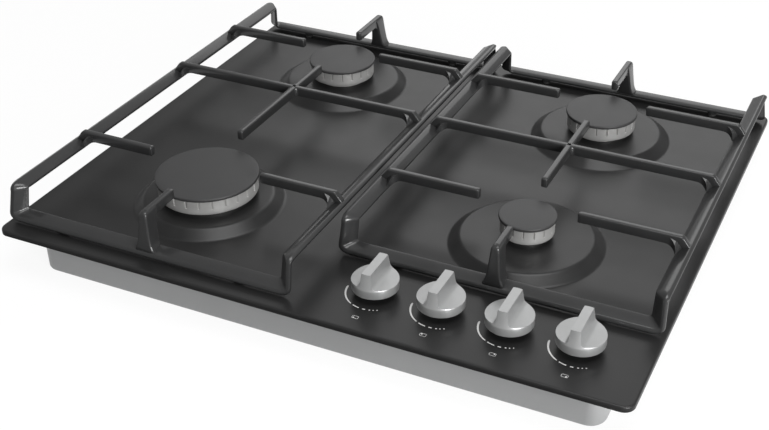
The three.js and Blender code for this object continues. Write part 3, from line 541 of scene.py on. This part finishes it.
# A bar's top climbs over its slope at a root, where the underside starts sunk below the strip's face.
bar = {"top": 45.0, "foot": 35.5, "half": 3.0, "round": 1.3, "fillet": 9.5, "slope": 6.5, "sunk": 2.6}
flangeReach = strip["flange"] * math.cos(math.radians(strip["fall"] - strip["tilt"]))
stripReach = flangeReach + strip["width"] * math.cos(math.radians(strip["tilt"]))
ridge = strip["high"] + strip["width"] * math.sin(math.radians(strip["tilt"]))
# Both supports share the rows of the cross bar and the rear fingers, the gap between these fingers' tips
# and the burner's middle, and the rear ends of the long bar and the rear prong. Each has its edges, its
# middle and its front burner's row, and how far from that row or middle the bars and prong end.
shared = {"crossBar": 33, "rearFinger": 138, "rearGap": 46, "longRear": 88, "prongRear": 177}
supports = [
    {"name": "left", "low": -298.0, "high": -2.45, "front": -226.5, "rear": 226.5, "x": -149.0,
     "frontBurner": -133.0, "side": 59, "long": 59, "prong": 56},
    {"name": "right", "low": 2.45, "high": 298.0, "front": -149.5, "rear": 226.5, "x": 149.0,
     "frontBurner": -77.0, "side": 46, "long": 40, "prong": 44},
]


def stripSection(width, skirt):
    # across and up from the inner edge: the flat face, the ridge as an arc, and the flange, with its
    # underside lowered by the skirt
    fall, t, bend = math.radians(strip["fall"]), strip["thick"], strip["bend"]
    turn = np.linspace(0, fall, 5)
    start = width - bend * math.tan(fall / 2)
    ridgeArc = np.column_stack([start + bend * np.sin(turn), -bend * (1 - np.cos(turn))])
    tip = np.array([width + strip["flange"] * math.cos(fall), -strip["flange"] * math.sin(fall)])
    normal = np.array([-math.sin(fall), -math.cos(fall)])
    edge = tip + np.array([-math.cos(fall), math.sin(fall)]) * strip["edge"]
    underside = [tip + normal * t - [0, skirt], [width - t * math.tan(fall / 2), -t - skirt],
                 [strip["corner"], -t], [0, -t + strip["corner"]]]
    return np.concatenate([innerEdge, ridgeArc, [edge, tip + normal * strip["edge"]], underside])


def sectionAt(place, outward, along, width, skew, skirt=0.0):
    # the section set at a place: its across goes outwards and its up at right angles to both, and
    # the skew carries it along as it goes outwards, which mitres it
    out, onward = np.array(outward, float), np.array(along, float)
    up = np.cross(out, onward)
    flat = stripSection(width, skirt)
    return np.array(place) + flat[:, :1] * out + skew * flat[:, :1] * onward + flat[:, 1:] * up


def foldBetween(a, b, corner):
    # sections along a quadratic curve from a to b, drawn towards the corner
    share = np.linspace(0, 1, strip["foldSteps"] + 1)[:, None, None]
    return (1 - share) ** 2 * a + 2 * share * (1 - share) * corner + share ** 2 * b


def supportCorner(sideX, endY, end):
    # the strip runs along the high side, folds down into the leg and out again along the low side
    side, leg, low = (math.radians(v) for v in (strip["tilt"], strip["legTurn"], end["tilt"]))
    r, legY = strip["foldReach"], endY - end["splay"]
    highZ, lowZ = trayTop + strip["high"], trayTop + end["low"]
    across = (math.cos(leg), math.sin(leg), 0)
    sideEnd = sectionAt((sideX, legY - r, highZ), (math.cos(side), 0, math.sin(side)), (0, 1, 0),
                        strip["width"], end["mitre"])
    legHead = sectionAt((sideX, legY, highZ - r), across, (0, 0, -1), end["legTop"], 0)
    legFoot = sectionAt((sideX, endY, lowZ + r), across, (0, 0, -1), strip["legFoot"], strip["legDrop"])
    lowEnd = sectionAt((sideX - r, endY, lowZ), (0, math.cos(low), -math.sin(low)), (-1, 0, 0),
                       strip["low"], -strip["footMitre"], end["skirt"])
    topCorner = np.column_stack([(sideEnd[:, 0] + legHead[:, 0]) / 2, legHead[:, 1], sideEnd[:, 2]])
    footCorner = np.column_stack([legFoot[:, 0], (legFoot[:, 1] + lowEnd[:, 1]) / 2, lowEnd[:, 2]])
    return np.concatenate([foldBetween(sideEnd, legHead, topCorner),
                           foldBetween(legFoot, lowEnd, footCorner)])


def supportRing(s):
    # the same corner mirrored into all four places, joined in a closed ring
    left, right = s["low"] + stripReach, s["high"] - stripReach
    middle, sideX = (left + right) / 2, (right - left) / 2
    loops = []
    for signX, signY, edgeY, end in ((-1, -1, -s["front"], "front"), (1, -1, -s["front"], "front"),
                                     (1, 1, s["rear"], "rear"), (-1, 1, s["rear"], "rear")):
        corner = supportCorner(sideX, edgeY, ends[end]) * [signX, signY, 1] + [middle, 0, 0]
        loops.append(corner[::-1] if signX * signY < 0 else corner)
    return skin(np.concatenate(loops), closedRows=True)


def barLoops(along, across, station, half, top, foot):
    # a bar is given by its stations: the distance along it, half width, top and underside at each; the
    # section there is a rectangle with the bar's round at the upper corners and 0.7 of it at the lower
    r = np.minimum(bar["round"], half * 0.6)[:, None]
    turn = np.radians(np.array([0, 30, 60, 90]))
    side = half[:, None] - r * (1 - np.cos(turn))
    upper = top[:, None] - r * (1 - np.sin(turn))
    lower = foot[:, None] + 0.7 * r * (1 - np.sin(turn))
    y = np.concatenate([side, -side[:, ::-1], -side, side[:, ::-1]], 1)
    z = trayTop + np.concatenate([upper, upper[:, ::-1], lower, lower[:, ::-1]], 1)
    x = np.broadcast_to(station[:, None], y.shape)
    return x[..., None] * np.array(along) + y[..., None] * np.array(across) + z[..., None] * [0, 0, 1.0]


def straightBar(origin, along, stations):
    # a bar from the origin, in plan, along a level direction
    across = np.cross([0, 0, 1.0], along)
    return skin(barLoops(along, across, *stations) + np.array([*origin, 0]))


def smooth(share):
    # a step with level ends: 3t^2 - 2t^3
    return share * share * (3 - 2 * share)


def rootStations():
    # from the strip's flange inwards: the top climbs from the ridge up to the bar's top, and past the
    # strip the underside rises in a quarter arc from just below the strip's face to the bar's foot
    start, crest = flangeReach, flangeReach + bar["slope"]
    bunched = 1 - np.cos(np.linspace(0.35, np.pi / 2, 8))
    s = np.concatenate([[start - 0.4, start + 0.2, start + 1.2], np.linspace(start + 2.4, crest, 4),
                        [stripReach - 3], stripReach - 1 + 9 * bunched])
    top = np.interp(s, [start - 0.4, start + 0.7, crest - 0.6, crest + 1.2],
                    [ridge + 0.2, ridge + 1.6, bar["top"] - 0.5, bar["top"]])
    near = np.arcsin(np.clip(1 - (s - stripReach + 1) / (bar["fillet"] + 1), 0, 1)) * 2 / np.pi
    foot = bar["foot"] - (bar["foot"] - strip["high"] + bar["sunk"]) * smooth(near)
    foot = np.where(s < stripReach - 1, strip["high"] - 1.0, foot)
    return s, np.full(len(s), bar["half"]), top, foot


def tipStations(length):
    # a rounded free end: each face draws in as the last millimetre runs out
    s = length - np.array([4.0, 1.3, 0.6, 0.2, 0.0])
    drop = np.array([0, 0, 0.35, 0.8, 1.4])
    return s, bar["half"] - drop * 0.8, bar["top"] - drop, bar["foot"] + drop * 0.8


def bothEnds(first, last):
    # the stations of a bar's start followed by those of its end
    return tuple(np.concatenate([u, v]) for u, v in zip(first, last))


def mirrored(stations, length):
    # the same stations measured from the bar's other end
    s, half, top, foot = stations
    return (length - s)[::-1], half[::-1], top[::-1], foot[::-1]


def finger(outerX, tipX, y):
    # a bar along X from the strip to a free tip
    towards, length = np.sign(tipX - outerX), abs(tipX - outerX)
    return straightBar((outerX, y), (towards, 0, 0), bothEnds(rootStations(), tipStations(length)))


def crossBar(low, high, y):
    # a bar along X from one strip to the other
    return straightBar((low, y), (1, 0, 0), bothEnds(rootStations(), mirrored(rootStations(), high - low)))


def longBar(x, low, high):
    # a bar along Y with two free tips
    tip = tipStations(high - low)
    return straightBar((x, low), (0, 1, 0), bothEnds(mirrored(tip, high - low), tip))


# The last sections of a root's web, over the strip: how far out past its inner edge, and the half
# width, rim and crest there.
webBack = np.array([[1.8, 11.2, 32.7, 39.6], [3.0, 8.0, 32.9, 38.6], [4.6, 3.2, 33.4, 37.0]])


def rootWeb(outerX, y, towards):
    # upright sections across a bar's root that widen in a quarter hollow towards the strip: the
    # rim falls from the bar's top to the strip's face, the underside from bar to strip
    share = np.linspace(0, 1, 13)
    turn = share * np.pi / 2
    shoulder = bar["top"] - 1.5
    x = stripReach - 1 + (bar["fillet"] + 1) * (1 - np.sin(turn))
    half = bar["half"] - 0.3 + bar["fillet"] * (1 - np.cos(turn))
    rim = shoulder - (shoulder - strip["high"] - 0.9) * share ** 1.3
    crest = shoulder - 3.5 * share ** 2
    foot = bar["foot"] - (bar["foot"] - strip["high"] + bar["sunk"]) * smooth(share)
    x = np.concatenate([x, stripReach - webBack[:, 0]])
    half, rim, crest = (np.concatenate(pair) for pair in zip((half, rim, crest), webBack[:, 1:].T))
    foot = np.concatenate([foot, np.full(len(webBack), strip["high"] - 1.0)])
    across = np.stack([-half, -half, 0 * half, half, half], 1)
    height = np.stack([foot, rim, crest, rim, foot], 1)
    return skin(np.stack([outerX + towards * np.repeat(x[:, None], 5, 1), y + across, trayTop + height], -1))


# A crossing's web: the hollows' radius, and the share of its plan at each height.
crossing = {"radius": 4.2, "levels": ((bar["foot"], 0.97), (bar["foot"] + 0.6, 1), (bar["top"] - 2.4, 1),
                                      (bar["top"] - 1, 0.9), (bar["top"] - 0.3, 0.75))}


def crossingWeb(x, y):
    # webs in the four corners where two bars cross: quarter hollows in plan, chamfered above
    h, r = bar["half"] - 0.1, crossing["radius"]
    turn = np.linspace(0, np.pi / 2, 7)
    hollow = np.column_stack([h + r * (1 - np.cos(turn)), h + r * (1 - np.sin(turn))])[::-1]
    corners = []
    for quarter in range(4):
        c, k = math.cos(quarter * math.pi / 2), math.sin(quarter * math.pi / 2)
        corners.append(hollow @ np.array([[c, k], [-k, c]]))
    plan = np.concatenate(corners)
    return skin(np.array([atHeight(plan * share + [x, y], trayTop + height)
                          for height, share in crossing["levels"]]))


# A prong's post starts outside the strip's inner edge. Its sections have a height, how far they lean
# inwards, their depth along Y and their half width.
post = {"outer": 11.6, "inside": 19.1}
postRows = [[6.4, 0.2, 7.6, 10.0], [7.8, 0.0, 10.4, 9.9], [9.4, 0.0, 13.3, 9.4], [10.9, 0.1, 13.9, 8.6],
            [12.5, 0.36, 14.3, 7.8], [14.6, 0.6, 14.6, 7.15], [17, 0.9, 14.9, 6.6], [25, 1.8, 15.5, 5.6],
            [33.5, 2.9, 16.1, 4.8], [38, 3.3, 17.0, 4.4], [41.6, 3.7, 18.0, 4.0], [43.0, 4.1, 17.9, 3.6],
            [44.0, 4.9, 17.0, 3.1], [44.6, 5.9, 16.0, 2.6], [44.85, 7.2, 14.6, 2.2]]


def prongPost(x, startY, towards):
    # plan sections that narrow and lean inwards on the way up, with round corners
    loops = []
    for height, lean, depth, half in postRows:
        plan = roundRectangle(2 * half, depth, min(2.2, half * 0.75), 6)
        loops.append(atHeight(plan + [x, startY + towards * (lean + depth / 2)], trayTop + height))
    return skin(np.array(loops))


def prong(x, edgeY, tipY):
    # the post, and a finger from its top whose underside runs into the post in a hollow curve
    towards = np.sign(tipY - edgeY)
    startY = edgeY - towards * post["outer"]
    turn = np.linspace(0, np.pi / 2, 7)
    s = np.concatenate([[9.4, 11.0, 14.0], post["inside"] - 0.6 + 7 * (1 - np.cos(turn))])
    foot = np.concatenate([[bar["foot"] - 5] * 3, bar["foot"] - 6.5 + 6.5 * np.sin(turn)])
    first = (s, np.full(len(s), bar["half"]), np.full(len(s), bar["top"]), foot)
    return [prongPost(x, startY, towards),
            straightBar((x, startY), (0, towards, 0), bothEnds(first, tipStations(abs(tipY - startY))))]


def footBosses(s):
    # a short round boss over each rubber foot, in from the corners by the inset and out by the offset
    inset, offset = 40, 4.8
    profile = [(0, 51.4), (4.6, 51.4), (5.1, 51.9), (5.1, 54.8), (0, 54.8)]
    return [turned(profile, x, y, 32) for y in (s["front"] - offset, s["rear"] + offset)
            for x in (s["low"] + stripReach + inset, s["high"] - stripReach - inset)]


def makeSupport(s):
    # one casting: the ring, the bars with their webs, two prongs and the bosses
    x, frontY = s["x"], s["frontBurner"]
    crossY, rearY, gap = shared["crossBar"], shared["rearFinger"], shared["rearGap"]
    bars = [crossBar(s["low"], s["high"], crossY), crossingWeb(x, crossY),
            longBar(x, frontY + s["long"], shared["longRear"]),
            finger(s["low"], x - gap, rearY), finger(s["high"], x + gap, rearY),
            finger(s["low"], x - s["side"], frontY), finger(s["high"], x + s["side"], frontY)]
    bars += prong(x, s["front"], frontY - s["prong"]) + prong(x, s["rear"], shared["prongRear"])
    webs = [rootWeb(edge, y, towards) for edge, towards in ((s["low"], 1), (s["high"], -1))
            for y in (frontY, crossY, rearY)]
    makePiece(f"{s['name']}PanSupport", [supportRing(s)] + bars + webs + footBosses(s), "support_enamel",
              f"{s['name']}_pan_support", [f"pan_support_{s['name']}"], sharp=50)


for s in supports:
    makeSupport(s)
print("pan supports made")

# A burner's cup stands in the tray's hole, the crown sits in the cup, and the cap on the crown.
burnerSize = {"dishTop": 56.5, "crownBase": 61.5, "crownTop": 75.5, "capThickness": 3.2, "cupDepth": 32}
portSlot = {"half": 0.40, "soft": 0.30, "depth": 1.7, "points": 12}


def burnerCup(b):
    # radius and height from the hole in the floor, up the outside, round the flange and down inside
    flange = b["cap"] - 9.5
    body = flange - 3
    base = burnerSize["dishTop"] + 0.1
    top = base + 4.6
    floor = burnerSize["dishTop"] - burnerSize["cupDepth"]
    outside = [(1.2, floor), (body - 3, floor), (body - 0.8, floor + 1.2), (body, floor + 5), (body, base)]
    rim = [(flange - 0.3, base), (flange, base + 0.4), (flange, top - 1.2), (flange - 0.4, top - 0.4),
           (flange - 1.3, top), (body - 2.2, top), (body - 2.4, top - 0.3)]
    inside = [(body - 2.4, floor + 7), (body - 5.4, floor + 2.4), (1.2, floor + 2.4), (1.2, floor)]
    return turned(outside + rim + inside, b["x"], b["y"])


def burnerCrown(b):
    # radius and height from a profile, and a slot at each port that draws the rim inwards: whole
    # within the slot's half width along the rim, and fading over the soft width beside it
    outer = b["cap"] - 1.6
    spigot = b["cap"] - 15.2
    throat = spigot * 0.4
    base, top, ports = burnerSize["crownBase"], burnerSize["crownTop"], b["ports"]
    profile = np.array([(throat, base + 3), (throat, base), (spigot - 2, base), (spigot - 2, base - 4),
                        (spigot, base - 4), (spigot, base), (outer - 1, base), (outer - 0.3, base + 0.3),
                        (outer, base + 1), (outer, base + 3.2), (outer, base + 5.6), (outer, base + 6.0),
                        (outer, top - 0.5), (outer - 0.5, top), (outer - 5, top), (outer - 5, base + 3),
                        (throat, base + 3)])
    slotted = np.array([0] * 11 + [1, 1, 1, 0, 0, 0], float)[:, None]
    steps = ports * portSlot["points"]
    turn = np.linspace(0, 2 * np.pi, steps, endpoint=False) + np.pi / ports
    pitch = 2 * np.pi / ports
    besidePort = np.abs(((turn - pitch / 2) / pitch + 0.5) % 1 - 0.5) * pitch * outer
    inSlot = 1 - np.clip((besidePort - portSlot["half"]) / portSlot["soft"], 0, 1)
    radius = profile[:, :1] - portSlot["depth"] * slotted * inSlot
    height = profile[:, 1:] + 0 * turn
    return tube(np.stack([b["x"] + radius * np.cos(turn), b["y"] + radius * np.sin(turn), height], -1))


def burnerCap(b):
    # a disc with a lip below, a rounded rim, and a top that swells by half a millimetre
    base = burnerSize["crownTop"] + 0.1
    top = base + burnerSize["capThickness"]
    r, lip = b["cap"], b["cap"] - 6.9
    under = [(0, base - 1.2), (lip - 1, base - 1.2), (lip, base), (r - 0.8, base), (r - 0.2, base + 0.3),
             (r, base + 0.9)]
    rounding = [(r - 0.9 + 0.9 * math.cos(a), top - 0.9 + 0.9 * math.sin(a))
                for a in np.linspace(0, np.pi / 2 - 0.12, 6)]
    crown = [(r * k, top + 0.5 * (1 - k * k)) for k in np.linspace((r - 1.2) / r, 0, 12)]
    return turned(under + rounding + crown, b["x"], b["y"], 128)


def makeBurner(b):
    # three pieces that lift off one another
    name = b["name"]
    short = "".join(word.capitalize() for word in name.split("_"))
    makePiece(f"cup{short}", [burnerCup(b)], "burner_aluminium", "root", [f"burner_cup_{name}"])
    makePiece(f"crown{short}", [burnerCrown(b)], "burner_aluminium", f"{name}_crown",
              [f"burner_crown_{name}"], sharp=32)
    makePiece(f"cap{short}", [burnerCap(b)], "cap_enamel", f"{name}_cap", [f"burner_cap_{name}"])


for b in burners:
    makeBurner(b)
print("burners made")

# A knob: a cone with a skirt, cut away on both sides of a blade. The skirt falls outwards by the fall.
knob = {"radius": 20.6, "topRadius": 17.4, "base": 54.7, "height": 22.4, "skirt": 9.2, "bladeTop": 8.2,
        "bladeFoot": 13.2, "fall": 1.4, "soft": 0.4}


def knobBody(x, y):
    # radius and height of the cone that the knob is cut from, hollow underneath round its hub
    b, r, t, h = knob["base"], knob["radius"], knob["topRadius"], knob["height"]
    f = knob["skirt"] - knob["fall"]
    hub = [(0, 17.5), (3.3, 17.5), (3.3, 0), (6, 0), (6, 4.4)]
    hollow = [(16.6, 4.4), (18.6, 3.4), (18.6, 0)]
    outside = [(r - 0.5, 0), (r - 0.1, 0.2), (r, 0.6), (r, f - 0.5), (r - 0.2, f + 0.4), (r - 0.75, f + 1.3),
               (t, h), (0, h)]
    return turned([(a, b + z) for a, z in hub + hollow + outside], x, y, 128)


def knobScoop(x, y, side):
    # what is cut away beside the blade: a steep flank, a hollow curve and the falling skirt
    top, foot, f, h = knob["bladeTop"] / 2, knob["bladeFoot"] / 2, knob["skirt"], knob["height"]
    start, bend, end = (np.array(p) for p in ((foot - 1.5, f + 3.2), (foot - 1.0, f + 0.2),
                                              (foot + 2.2, f - 0.2)))
    t = np.linspace(0, 1, 7)[:, None]
    curve = (1 - t) ** 2 * start + 2 * t * (1 - t) * bend + t ** 2 * end
    outer = knob["radius"] + 1
    outline = np.concatenate([[(top - 0.4, h + 1), (top, h - 0.5)], curve,
                              [(outer, f - knob["fall"]), (outer, h + 1)]])
    across, height = x + side * outline[:, 0], knob["base"] + outline[:, 1]
    reach = knob["radius"] + 2
    return skin(np.array([np.column_stack([across, np.full(len(across), y + along), height])
                          for along in (-reach, reach)]))


def makeKnob(i, x, y):
    # the cone less both scoops, with its edges over 32 degrees rounded
    piece = makePiece(f"knob{i + 1}", [knobBody(x, y)], "knob_paint", f"control_{i + 1}", [f"knob_{i + 1}"],
                      sharp=40)
    cutAway(piece, [knobScoop(x, y, -1), knobScoop(x, y, 1)])
    soften = piece.modifiers.new("soft edges", "BEVEL")
    soften.width = knob["soft"] * mm
    soften.segments = 3
    soften.limit_method = "ANGLE"
    soften.angle_limit = math.radians(32)
    soften.harden_normals = True


for i, (x, y) in enumerate(knobPlaces):
    makeKnob(i, x, y)
print("knobs made")

# The marks printed round each knob: an arc for full to low flame, dashes in degrees, and a small plan
# of the burners with a dot at the knob's own. Each knob has its dot's quarter and the plan's distance.
dial = {"radius": 25.6, "height": 0.06, "lift": 0.02, "arc": (182, 242), "dash": 1.0, "line": 0.35,
        "wide": 2.7, "deep": 1.6, "dot": 0.75}
dashes = ((247.5, 263), (270, 276.3), (283, 286), (290.5, 292.8), (297.8, 300))
plans = (((-1, -1), 38.0), ((-1, 1), 36.5), ((1, 1), 36.5), ((1, -1), 38.0))
printLow = trayTop + dial["lift"]
printHigh = printLow + dial["height"]


def inkStrip(points, widths):
    # a thin raised strip along a line of points, with a width at each
    points, widths = np.asarray(points, float), np.asarray(widths, float)[:, None]
    along = np.gradient(points, axis=0)
    along /= np.linalg.norm(along, axis=1, keepdims=True)
    across = np.column_stack([-along[:, 1], along[:, 0]])
    left, right = points + across * widths / 2, points - across * widths / 2
    return skin(np.stack([atHeight(left, printLow), atHeight(right, printLow),
                          atHeight(right, printHigh), atHeight(left, printHigh)], 1))


def arcPoints(x, y, first, last, steps):
    # points of the dial's circle, between two angles in degrees
    turn = np.radians(np.linspace(first, last, steps))
    return np.column_stack([x + dial["radius"] * np.cos(turn), y + dial["radius"] * np.sin(turn)])


def dialMarks(x, y, quarter, below):
    # an arc that thins towards low flame, dashes that shorten, and the small plan below them
    arc = arcPoints(x, y, *dial["arc"], 40)
    parts = [inkStrip(arc, np.interp(np.linspace(0, 1, 40), [0, 0.06, 0.9, 1], [0.7, 1.8, 1.1, 0.8]))]
    parts += [inkStrip(arcPoints(x, y, first, last, 8), [dial["dash"]] * 8) for first, last in dashes]
    wide, deep, middle = dial["wide"], dial["deep"], np.array([x, y - below])
    corners = np.array([(-wide, -deep), (wide, -deep), (wide, deep), (-wide, deep)])
    for a, b in zip(corners, np.roll(corners, -1, 0)):
        side = np.array([a + (b - a) * t for t in (0.06, 0.5, 0.94)]) + middle
        parts.append(inkStrip(side, [dial["line"]] * 3))
    dot = middle + np.array([quarter[0] * wide * 0.5, quarter[1] * deep * 0.42])
    profile = [(0, printLow), (dial["dot"], printLow), (dial["dot"], printHigh), (0, printHigh)]
    return parts + [turned(profile, *dot, 20)]


marks = []
for (x, y), (quarter, below) in zip(knobPlaces, plans):
    marks += dialMarks(x, y, quarter, below)
makePiece("dialMarks", marks, None, "root")
print("marks made")

carriedOver = ("foot_", "spark_electrode", "flame_sensor", "gas_", "tap_", "mains", "spark_gen", "worktop")


def softCopy(node, finish, body):
    # a merged copy of the CAD node, smooth but for edges over 38 degrees, standing for it
    mesh = frame["nodes"][node].data.copy()
    made = bmesh.new()
    made.from_mesh(mesh)
    bmesh.ops.remove_doubles(made, verts=made.verts, dist=0.001 * mm)
    made.to_mesh(mesh)
    made.free()
    mesh.materials.clear()
    mesh.materials.append(finishes[finish])
    mesh.shade_smooth()
    mesh.set_sharp_from_angle(angle=math.radians(38))
    words = node.split("_")
    piece = newObject(words[0] + "".join(w.capitalize() for w in words[1:]), mesh)
    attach(piece, body)
    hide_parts(node)


nodeBody = {n: body for body, members in frame["record"]["behaviour"]["bodies"].items() for n in members}
for row in frame["record"]["subparts"]:
    if row["node"].startswith(carriedOver):
        softCopy(row["node"], row["material_slot"], nodeBody[row["node"]])
print("small pieces carried over")

# The floor as the camera sees it is white. In reflections it is darker within the shade's reach in
# front of the object, all in metres: from one line over a width, and left of another.
floor = {"half": 4.0, "height": -0.0006, "white": 1.05, "kept": 0.86, "shade": 0.85,
         "shadeFront": 0.19, "frontWidth": 0.07, "shadeRight": 0.305, "rightWidth": 0.05}


def floorWhite():
    # mostly a white glow to rays that see the background, dimmed in reflections in front of the
    # object as painted shade, and a pale floor with shadows otherwise
    g = newGraph("floor white")
    g.set(color=(0.80, 0.80, 0.80), roughness=0.9)
    glossy = g.ray("Glossy")
    seen = g.maths("MAXIMUM", g.maths("MAXIMUM", g.ray("Camera"), glossy), g.ray("Transmission"))
    south = (g.axis("Y") * -1.0 - floor["shadeFront"]) / floor["frontWidth"]
    west = (g.axis("X") * -1.0 + floor["shadeRight"]) / floor["rightWidth"]
    inFront, atLeft = (g.maths("MULTIPLY", reach, 1.0, True) for reach in (south, west))
    # painted shade: the glow that reflections see is lowered in front of the object and left of a line
    strength = floor["white"] - inFront * atLeft * glossy * floor["shade"]
    glow = g.node("ShaderNodeEmission", None, {"Color": (1.0, 1.0, 1.0), "Strength": strength})
    mixed = g.node("ShaderNodeMixShader", None, {0: seen * floor["kept"], 1: Wire(g, g.shader.outputs[0]),
                                                 2: glow})
    g.feed(g.output.inputs["Surface"], mixed)
    return g.owner


def addFloor():
    # one large square just under the object
    size, z = floor["half"], floor["height"]
    mesh = bpy.data.meshes.new("floor")
    mesh.from_pydata([(-size, -size, z), (size, -size, z), (size, size, z), (-size, size, z)], [],
                     [(0, 1, 2, 3)])
    mesh.materials.append(floorWhite())
    newObject("floor", mesh)


def addLight(name, place, target, size, power):
    # a rectangle at the place, in metres, pitched and turned so that it faces the target
    data = bpy.data.lights.new(name, "AREA")
    data.shape = "RECTANGLE"
    data.size, data.size_y = size
    data.energy = power
    lamp = newObject(name, data)
    lamp.location = place
    gaze = np.array(target, float) - np.array(place, float)
    flat = math.hypot(gaze[0], gaze[1])
    pitch, turn = math.atan2(flat, -gaze[2]), math.atan2(-gaze[0], gaze[1])
    lamp.rotation_euler = (pitch, 0, turn)


# The world's strength as a light, its strength where it is seen, and how far reflections see it.
sky = {"light": 0.16, "seen": 1.0, "mirrored": 0.30}


def studioWorld():
    # a dim, even light, but white to the camera and to transmitted rays and partly so in reflections
    g = Graph(bpy.data.worlds.new("studio"), "Background", "World Output")
    g.shader.inputs["Color"].default_value = (1, 1, 1, 1)
    g.shader.inputs["Strength"].default_value = sky["light"]
    plain = g.node("ShaderNodeBackground", None, {"Color": (1.0, 1.0, 1.0), "Strength": sky["seen"]})
    seen = g.maths("MAXIMUM", g.ray("Glossy") * sky["mirrored"] + g.ray("Camera"), g.ray("Transmission"))
    mixed = g.node("ShaderNodeMixShader", None, {0: seen, 1: Wire(g, g.shader.outputs[0]), 2: plain})
    g.feed(g.output.inputs["Surface"], mixed)
    return g.owner


addFloor()
addLight("behind", (-0.55, 2.35, 1.50), (0.0, 0.1, 0.05), (2.0, 1.2), 13)
addLight("overhead", (0.5, -0.4, 2.25), (0, 0, 0), (1.5, 1.2), 31)
addLight("right", (1.75, -1.30, 0.72), (0.1, -0.05, 0.06), (1.0, 0.75), 48)
bpy.context.scene.world = studioWorld()
bpy.context.scene.view_settings.view_transform = "Standard"
print("stage and light placed")
